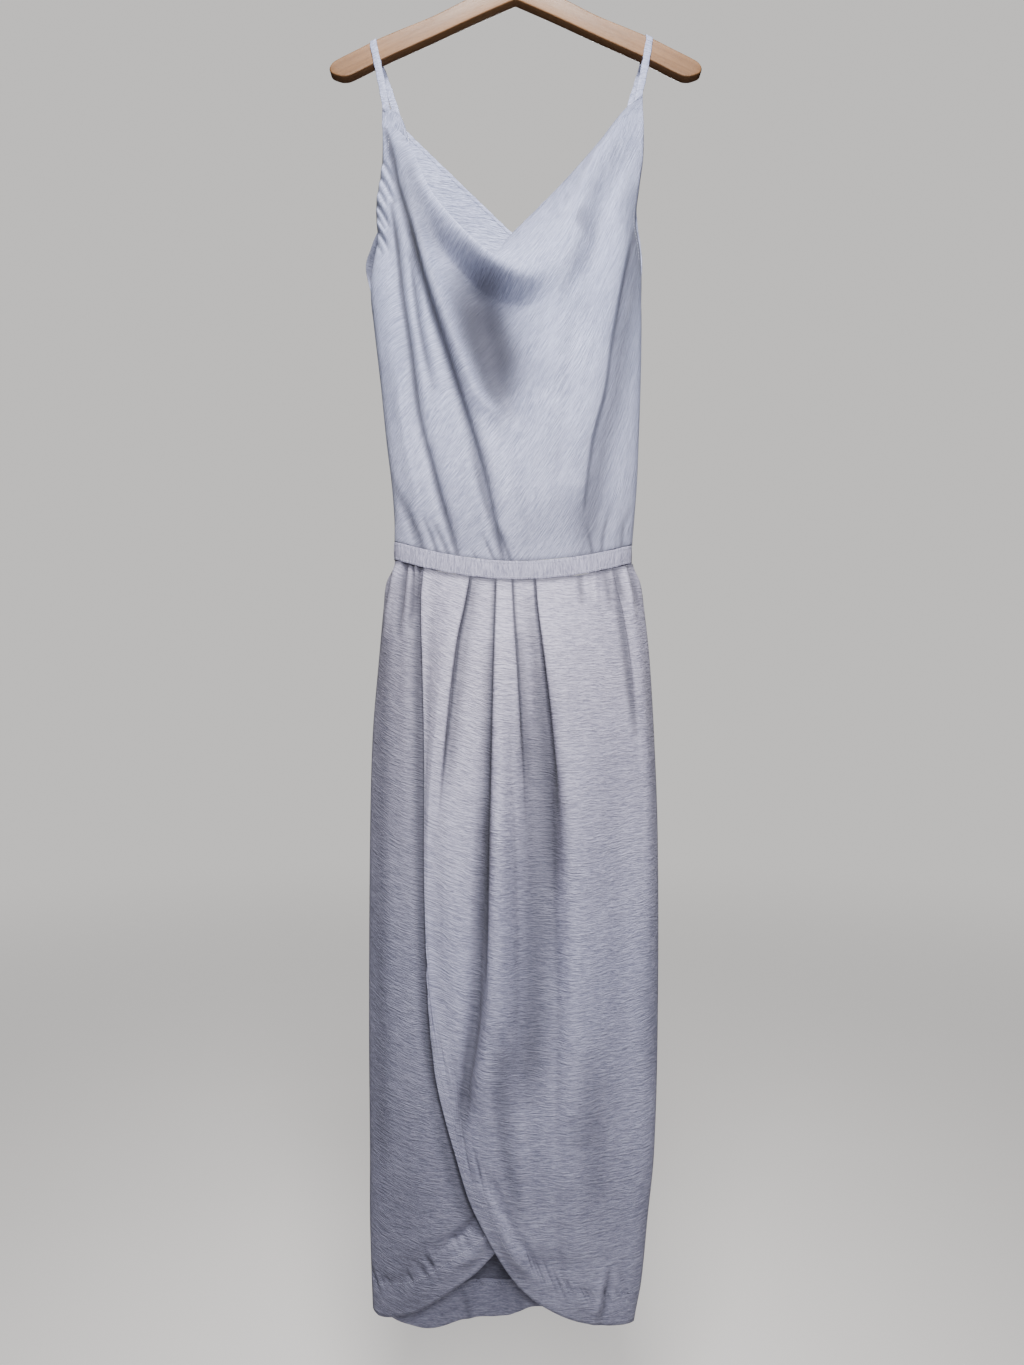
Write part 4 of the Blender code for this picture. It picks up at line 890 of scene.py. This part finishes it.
over_folds = [
    (9, 56, [(-10, 740), (-6, 900), (0, 1100), (4, 1300), (30, 1460)]),
    (-8, 8, [(-27, 880), (-29, 960), (-31, 1040), (-34, 1110), (-38, 1189), (-46, 1232), (-52, 1310)]),
    (3.5, 7, [(-94, 700), (-94, 806), (-93, 904), (-92, 1040), (-88, 1145), (-84, 1202)]),
    (-2.6, 8, [(16, 750), (25, 810), (31, 870), (38, 940), (43, 1040)]),
    (-3.6, 9, [(24, 800), (31, 870), (38, 940), (43, 1040)]),
    (-6, 20, [(24, 860), (26, 960), (27, 1080), (22, 1200), (14, 1300)]),
    (2.6, 10, [(-66, 960), (-64, 1060), (-58, 1160), (-44, 1280)]),
    (2, 8, [(-8, 1392), (6, 1440), (18, 1470)]),
    (3.5, 5, [(97, 1462), (93, 1490), (88, 1520)]),
    (-3, 4, [(105, 1462), (102, 1490), (98, 1520)]),
    (-2.5, 3.5, [(112, 1455), (120, 1478), (126, 1505)]),
    (-3.5, 5, [(-28, 1340), (-15, 1366), (-6, 1392), (9, 1422), (26, 1448)]),
    (3, 7, [(-22, 1372), (-11, 1402), (0, 1432), (16, 1455), (34, 1472)]),
    (-4.5, 3.2, [(70, 686), (71, 712), (73, 745)]),
    (3, 3.8, [(84, 686), (87, 720), (90, 760)]),
    (-8, 3.4, [(93, 684), (97, 708), (104, 748)]),
    (4.5, 15, [(40, 1130), (42, 1230), (46, 1320), (52, 1390)]),
    (4, 3, [(100, 684), (104, 704), (109, 735)]),
    (-7, 2.8, [(106, 682), (110, 702), (116, 740)]),
    (5, 3.2, [(113, 682), (119, 708), (127, 755)]),
    (-6.5, 3, [(121, 680), (127, 702), (136, 745)]),
    (-1, 2.4, [(-44, 716), (-41, 745), (-38, 785)]),
    (1.2, 9, [(-70, 900), (-66, 1050), (-58, 1180)]),
    (-1.4, 7, [(-50, 1190), (-40, 1270), (-28, 1330)]),
    (-1.6, 6, [(-22, 1180), (-18, 1260), (-10, 1330), (4, 1390)]),
    (1.8, 8, [(-10, 1340), (2, 1400), (10, 1440)]),
]
over_tucks = [
    (5, 14, 62, [(48, 900), (53, 1000), (59, 1100), (61, 1200), (58, 1300)]),
    (4, 16, 62, [(50, 930), (55, 1030), (60, 1140), (61, 1240), (62, 1380), (72, 1500)]),
    (5, 10, 34, [(-22, 960), (-24, 1080), (-29, 1180), (-38, 1260)]),
]
# Painted shade on the over panel: thin shadow lines beside the pleats' edges, darker channels between the pleats and
# darker gathers: how dark, how wide, and the (x, drop) points each follows
over_painted_shade = [
    (0.4, 5, [(-37, 706), (-43, 745), (-49, 790), (-56, 850), (-66, 930)]),
    (0.7, 4, [(-22, 790), (-25, 900), (-27, 1000)]),
    (0.9, 8, [(-27, 950), (-30, 1040), (-33, 1115)]),
    (0.5, 9, [(-34, 1100), (-38, 1189), (-46, 1232), (-52, 1300)]),
    (0.4, 5, [(4, 760), (9, 800), (13, 870), (16, 930)]),
    (0.35, 6, [(17, 740), (27, 815), (33, 870), (40, 940), (45, 1040)]),
    (0.4, 9, [(27, 815), (33, 870), (40, 940), (45, 1040)]),
    (2.6, 1.2, [(-41, 702), (-47, 740), (-55, 785), (-63, 850), (-72, 930), (-77, 990)]),
    (3.2, 1.2, [(-17, 702), (-18, 750), (-20, 840), (-23, 972), (-25.5, 1090), (-28, 1150)]),
    (0.8, 2.4, [(-21, 870), (-23, 972), (-25.5, 1060)]),
    (2.4, 1.1, [(0, 702), (2, 750), (5, 795), (9, 867), (12.5, 935), (15, 1000)]),
    (2.6, 1.2, [(23, 702), (26, 750), (32, 801), (40, 870), (46, 938), (52, 1030)]),
    (0.6, 20, [(24, 870), (28, 960), (28, 1060), (24, 1160), (16, 1260)]),
    (0.8, 3.6, [(105, 698), (112, 742), (122, 817), (130, 880)]),
    (0.3, 14, [(152, 800), (154, 1000), (152, 1250)]),
    (0.25, 15, [(80, 1220), (86, 1320), (88, 1400)]),
    (0.6, 2.6, [(97, 702), (100, 722), (106, 750)]),
    (0.6, 2.4, [(110, 702), (113, 720), (118, 744)]),
    (0.6, 2.6, [(127, 702), (131, 722), (137, 748)]),
    (0.5, 2.4, [(72, 702), (73, 722), (75, 745)]),
    (0.4, 9, [(-12, 1190), (-10, 1260), (-4, 1330), (8, 1400)]),
]


def pleat(table, high_left, steps):
    """Lines of a pleat's fold, from one side of it over its rounded edge to the other."""
    made = []
    for step in steps:

        def column(drop, step=step):
            edge, reach, turn, rise = read(table, drop)
            turn = np.maximum(turn, 0)
            share = np.clip(reach / np.maximum(turn * math.pi, 1e-6), 0, 1)
            peak = np.arccos(share) / math.pi
            crest = np.where(turn * math.pi > reach, turn * np.sin(math.pi * peak) - reach * peak, 0)
            over = reach * step - turn * math.sin(math.pi * step)
            if high_left:
                return edge - crest + over, rise * (1 - math.sin(step * math.pi / 2)) / 2
            return edge + crest + over, rise * (1 + math.sin(step * math.pi / 2)) / 2
        made.append(column)
    return made


def wrap_side(drop):
    return read(wrap_edge, drop)[0], drop * 0


def right_seam(drop):
    return read(body, drop)[1], drop * 0 - 1.7


steps = np.sin(np.linspace(-1, 1, 17) * math.pi / 2) * 0.35 + np.linspace(-1, 1, 17) * 0.65
columns = [wrap_side]
# Each pleat with whether its higher side is the left, its lines, and how many columns lie to the left of it
for table, high_left, lines, count in [
        (pleat_a, True, steps, 16), (pleat_b, False, steps, 6), (pleat_c, True, steps, 6),
        (pleat_d, False, steps, 7), (side_fold, False, steps[::2], 34)]:
    fold = pleat(table, high_left, lines)
    columns += between(columns[-1], fold[0], count) + fold
columns += between(columns[-1], right_seam, 12) + [right_seam]
over_grid, shadows = hang_panel(columns, over_hem, 230, 1.7, over_folds, over_tucks, over_painted_shade, 34.0)
bias = [(-95, -0.46), (-50, -0.36), (-30, -0.2), (0, -0.1), (40, -0.03), (90, 0.02), (150, 0.14)]
over_cloth = grain(over_grid, bias, len(columns) - 40)
skirt_over = cloth_piece("skirt_over_panel", over_grid, over_cloth, shadows, skirt_crepe, [("foot", 9), ("left", 4)])
over_stitches = stitched_row("skirt_over_hem_stitches", over_grid, np.s_[-10, 4:], "skirt_over_panel")

# The hanger is a flat board of clear-varnished beech, cut to the slope of the shoulders.
# Its edges are rounded over and rubbed a little darker towards the ends where it is handled.
# Half its outline from the middle of the top round the end to the middle of the foot: out from the middle, drop
hanger_middle, hanger_thickness = 4.0, 15.0
hanger_outline = [
    (0, 48), (14, 48), (24, 60), (38, 72), (56, 81), (90, 98), (124, 112), (150, 123), (174, 135), (192, 144),
    (200, 149), (203.5, 155), (202, 160), (196, 163), (188, 164.5), (177, 161.5), (142, 144), (90, 120.5),
    (40, 97.5), (0, 80)]
hanger_outline = [(n, *row) for n, row in enumerate(hanger_outline)]


def weld(threshold):
    """Join what lies together in the mesh being edited, and turn its faces outwards."""
    bpy.ops.mesh.select_all(action="SELECT")
    bpy.ops.mesh.remove_doubles(threshold=threshold)
    bpy.ops.mesh.normals_make_consistent(inside=False)


bpy.ops.mesh.primitive_circle_add(vertices=320, radius=1, fill_type="NGON")
hanger = bpy.context.active_object
hanger.name = hanger.data.name = "hanger_board"
for corner in hanger.data.vertices:
    share = abs(math.atan2(corner.co.x, corner.co.y)) / math.pi
    out, drop = read(hanger_outline, share * (len(hanger_outline) - 1))
    place = (hanger_middle + math.copysign(float(out), corner.co.x), -hanger_thickness / 2, -float(drop))
    corner.co = [value / 1000 for value in place]
bpy.ops.object.mode_set(mode="EDIT")
bpy.ops.mesh.select_all(action="SELECT")
bpy.ops.mesh.extrude_region_move(TRANSFORM_OT_translate={"value": (0, hanger_thickness / 1000, 0)})
weld(0.00005)
bpy.ops.mesh.select_all(action="DESELECT")
bpy.ops.mesh.edges_select_sharp(sharpness=math.radians(70))
bpy.ops.mesh.bevel(offset=0.0015, segments=4)
bpy.ops.object.mode_set(mode="OBJECT")
bpy.ops.object.shade_smooth_by_angle(angle=math.radians(40))

beech, wood = new_material("varnished beech")
centred = on_vectors(wood, "SUBTRACT", own_place(wood), (hanger_middle / 1000, 0, 0))
arms = on_vectors(wood, "ABSOLUTE", centred)
lengthwise = add_node(wood, "Mapping", {"Vector": arms, "Rotation": (0, math.radians(25), 0)})


def fibres(scale, detail):
    return noise(wood, on_vectors(wood, "MULTIPLY", lengthwise, scale), 1.0, detail, 0.6)


rings, fine_fibres, rays = fibres((6, 60, 130), 3.0), fibres((60, 700, 1400), 3.0), fibres((260, 900, 1100), 1.0)
worn = fibres((14, 30, 30), 4.0)
board = blend(wood, remap(wood, rings, 0.35, 0.66), (0.165, 0.08, 0.034), (0.265, 0.138, 0.06))
board = blend(wood, reckon(wood, "MULTIPLY", fine_fibres, 0.45), board, (0.13, 0.064, 0.028))
board = blend(wood, remap(wood, rays, 0.62, 0.72, 0.0, 0.5), board, (0.09, 0.045, 0.02))
handled = remap(wood, add_node(wood, "SeparateXYZ", {0: arms}), 0.16, 0.21)
handled = reckon(wood, "MULTIPLY", reckon(wood, "MULTIPLY", handled, worn), 0.5)
finish_shader(wood, {
    "Base Color": blend(wood, handled, board, (0.1, 0.055, 0.028)),
    "Roughness": remap(wood, worn, 0.0, 1.0, 0.3, 0.52),
    "Normal": bump(wood, fine_fibres, 0.35, 0.0004),
    "Specular IOR Level": 0.3})
hanger.data.materials.append(beech)
stand_for(hanger, "hanger")

# The hook is one length of plated steel wire screwed into the top of the hanger through a small collar.
# It rises straight, swings out to one side and turns over into a loop that is open to the left.
wire = 1.9
bpy.ops.mesh.primitive_circle_add(vertices=20, radius=0.0044, fill_type="NGON", location=(0.004, 0, -0.0478))
hook = bpy.context.active_object
hook.name = hook.data.name = "hook_wire"
bpy.ops.object.transform_apply(location=True, rotation=True, scale=True)
bpy.ops.object.mode_set(mode="EDIT")
bpy.ops.mesh.select_all(action="SELECT")


def draw_on(length, narrower=1.0, turned=0.0):
    """Extrude the selected end of the wire along a direction in the hook's plane, and narrow it."""
    push = (length * math.sin(turned) / 1000, 0, length * math.cos(turned) / 1000)
    bpy.ops.mesh.extrude_region_move(TRANSFORM_OT_translate={"value": push})
    bpy.ops.transform.resize(value=(narrower, narrower, narrower))


draw_on(1.0)
draw_on(0.5, 0.9)
draw_on(0.05, wire / 4.4 / 0.9)
draw_on(1.45)
bpy.ops.mesh.spin(steps=8, angle=math.radians(-62), center=(0.0142, 0, -0.0448), axis=(0, 1, 0))
bpy.ops.mesh.spin(steps=40, angle=math.radians(262), center=(0, 0, -0.0181), axis=(0, 1, 0))
draw_on(0.7, 0.9, math.radians(160))
draw_on(0.7, 0.62, math.radians(160))
weld(0.00002)
bpy.ops.object.mode_set(mode="OBJECT")
bpy.ops.object.shade_smooth_by_angle(angle=math.radians(45))

plated, steel = new_material("plated steel wire")
place = own_place(steel)
scuffs, tarnish = noise(steel, place, 420.0, 5.0, 0.7), noise(steel, place, 60.0, 3.0)
finish_shader(steel, {
    "Base Color": blend(steel, tarnish, (0.5, 0.5, 0.49), (0.7, 0.7, 0.71)),
    "Roughness": remap(steel, scuffs, 0.0, 1.0, 0.16, 0.42),
    "Normal": bump(steel, scuffs, 0.2, 0.0002),
    "Metallic": 1.0})
hook.data.materials.append(plated)
stand_for(hook, "hook")

# Each strap is a narrow tube of crepe pressed flat, with one row of stitches along its outer edge.
# It loops over an arm of the hanger, and its ends are sewn in behind the corners of the bodice.
strap_section = [
    (-4, 0), (-3.85, 0.42), (-3.3, 0.66), (-2.6, 0.52), (-1.5, 0.68), (0, 0.72), (1.5, 0.7), (3.2, 0.66),
    (3.85, 0.42), (4, 0), (3.85, -0.42), (3.2, -0.64), (0, -0.68), (-3.2, -0.64), (-3.85, -0.42)]
strap_crepe = crepe("strap crepe", light_crepe, dark_crepe, 0.6)


def strap(node, front_foot, back_foot, over_x):
    """A flat tube from the front of the bodice over the hanger's arm and down to the back."""
    outline = read(hanger_outline, np.linspace(0, 10, 400))
    heights = [float(np.interp(abs(over_x + step - hanger_middle), *outline)) for step in (-5, 0, 5)]
    slope = (heights[2] - heights[0]) / 10
    # How far the strap's middle is from the wood, and how it bends round the arm's edges
    clear, bend = 1.2, 4.0
    top, out = heights[1] - clear * math.hypot(1, slope), hanger_thickness / 2 + clear
    lean = np.array([1, 0, -slope]) / math.hypot(1, slope)
    path, wide = [], []
    for foot, side in ((front_foot, -1), (back_foot, 1)):
        hidden = np.array([foot[0] + (foot[0] - over_x) * 0.1, side * (foot[2] - 2.6), -foot[1] - 9])
        foot = np.array([foot[0], side * (foot[2] - 1.4), -foot[1]])
        head = np.array([over_x, side * out, -(top + bend + 2)])
        shares = np.linspace(0, 1, 34)
        # The strap hangs a little slack, so it bows outwards between the bodice and the hanger
        bow = np.sin(shares * math.pi)[:, None] * np.array([0.5, side * 0.8, 0])
        run = [hidden] + list(foot + (head - foot) * shares[:, None] + bow)
        turns = [[1, 0, 0]] * 2 + [np.array([1, 0, 0]) * (1 - ease(t)) + lean * ease(t) for t in shares[1:]]
        angles = np.linspace(0, math.pi / 2, 9)[1:]
        run += [np.array([over_x, side * (out - bend * (1 - math.cos(a))), -(top + bend) + bend * math.sin(a)])
                for a in angles]
        turns += [lean] * 8
        if side < 0:
            path, wide = run, turns
        else:
            path, wide = path + run[::-1], wide + turns[::-1]
    path, wide = np.array(path), unit(np.array(wide, float))
    out_of = unit(np.cross(unit(np.gradient(path, axis=0)), wide))
    walk = np.concatenate([[0], np.cumsum(np.linalg.norm(np.diff(path, axis=0), axis=1))])
    pinch = 1 + 0.05 * np.sin(walk * 0.35) + 0.03 * np.sin(walk * 0.9)
    section = np.array(strap_section, float)
    grid = path[None] + section[:, 0, None, None] * (wide * pinch[:, None]) + section[:, 1, None, None] * out_of
    coordinates = np.stack(np.broadcast_arrays(section[:, 0, None] * 1.0, walk[None] + section[:, 1, None]), axis=2)
    made = closed_tube(node, grid, coordinates / 1000, strap_crepe)
    row = path + wide * -3.0 + out_of * 0.55
    return [made, stitches(node + "_crepe_stitches", row[3:-3], out_of[3:-3], node, 2.0, 1.0, 0.14)]


# Where each strap is sewn to the front and the back, as x, drop and depth, and where it lies on the hanger
straps = strap("strap_left", (-137.5, 199, 12), (-129, 193.4, 12), -151.5)
straps += strap("strap_right", (138.5, 186, 12), (133, 182.4, 12), 150)

# The dress hangs in front of a plain pale floor under soft studio light from above.
bpy.ops.mesh.primitive_plane_add(size=12, location=(0, 0, -1.74))
floor = bpy.context.active_object
floor.name = "studio_floor"
floor_paint, paint = new_material("pale floor")
place = own_place(paint)
away = on_vectors(paint, "LENGTH", place, output="Value")
glow = add_node(paint, "LightPath", {}, "Is Camera Ray")
finish_shader(paint, {
    "Base Color": blend(paint, noise(paint, place, 3.0, 4.0), (0.5, 0.485, 0.47), (0.54, 0.525, 0.51)),
    "Roughness": 0.8,
    "Alpha": remap(paint, away, 1.2, 4.6, 1.0, 0.0, interpolation_type="SMOOTHSTEP"),
    "Emission Color": (0.8, 0.78, 0.76, 1),
    "Emission Strength": reckon(paint, "MULTIPLY", glow, 0.62)})
floor.data.materials.append(floor_paint)

# The pale backdrop colour is what the eye sees behind the dress, and a dimmer one fills its shadows
world = bpy.data.worlds.new("studio")
bpy.context.scene.world = world
world.use_nodes = True
sky = world.node_tree
fill = sky.nodes["Background"]
set_inputs(sky, fill, {"Color": (0.95, 0.9, 1.0, 1), "Strength": 0.05})
backdrop = add_node(sky, "Background", {"Color": (0.8, 0.78, 0.76, 1), "Strength": 0.95})
seen = add_node(sky, "LightPath", {}, "Is Camera Ray")
studio = add_node(sky, "MixShader", {0: seen, 1: fill.outputs[0], 2: backdrop})
set_inputs(sky, sky.nodes["World Output"], {"Surface": studio})


def place_in_studio(name, data, location):
    """A light or a camera set down in the scene."""
    made = bpy.data.objects.new(name, data)
    bpy.context.scene.collection.objects.link(made)
    made.location = location
    return made


# Each light: where it stands, what height it aims at, its size, its power and its colour
for name, place, aim, size, power, colour in [
    ("key light", (0.0, -0.85, 0.6), -0.66, 0.4, 10, (1, 0.985, 0.97)),
    ("front light", (0.1, -1.6, -0.4), -0.7, 0.5, 7.5, (0.99, 0.985, 1)),
    ("back light", (0.2, 1.5, 0.3), -0.7, 0.5, 7, (0.99, 0.985, 1)),
]:
    lamp = bpy.data.lights.new(name, "AREA")
    lamp.size, lamp.energy, lamp.color, lamp.spread = size, power, colour, math.radians(72)
    direction = Vector((0, 0, aim)) - Vector(place)
    place_in_studio(name, lamp, place).rotation_euler = direction.to_track_quat("-Z", "Y").to_euler()

# The camera sees half the photograph's long side above and below its middle at the dress
camera_distance, half_height = 1.2, 0.75075
camera_data = bpy.data.cameras.new("camera")
camera_data.sensor_width = 36
camera_data.lens = 18 / (half_height / camera_distance)
camera = place_in_studio("camera", camera_data, (0, -camera_distance, -0.8272))
camera.rotation_euler = (math.pi / 2, 0, 0)
bpy.context.scene.camera = camera
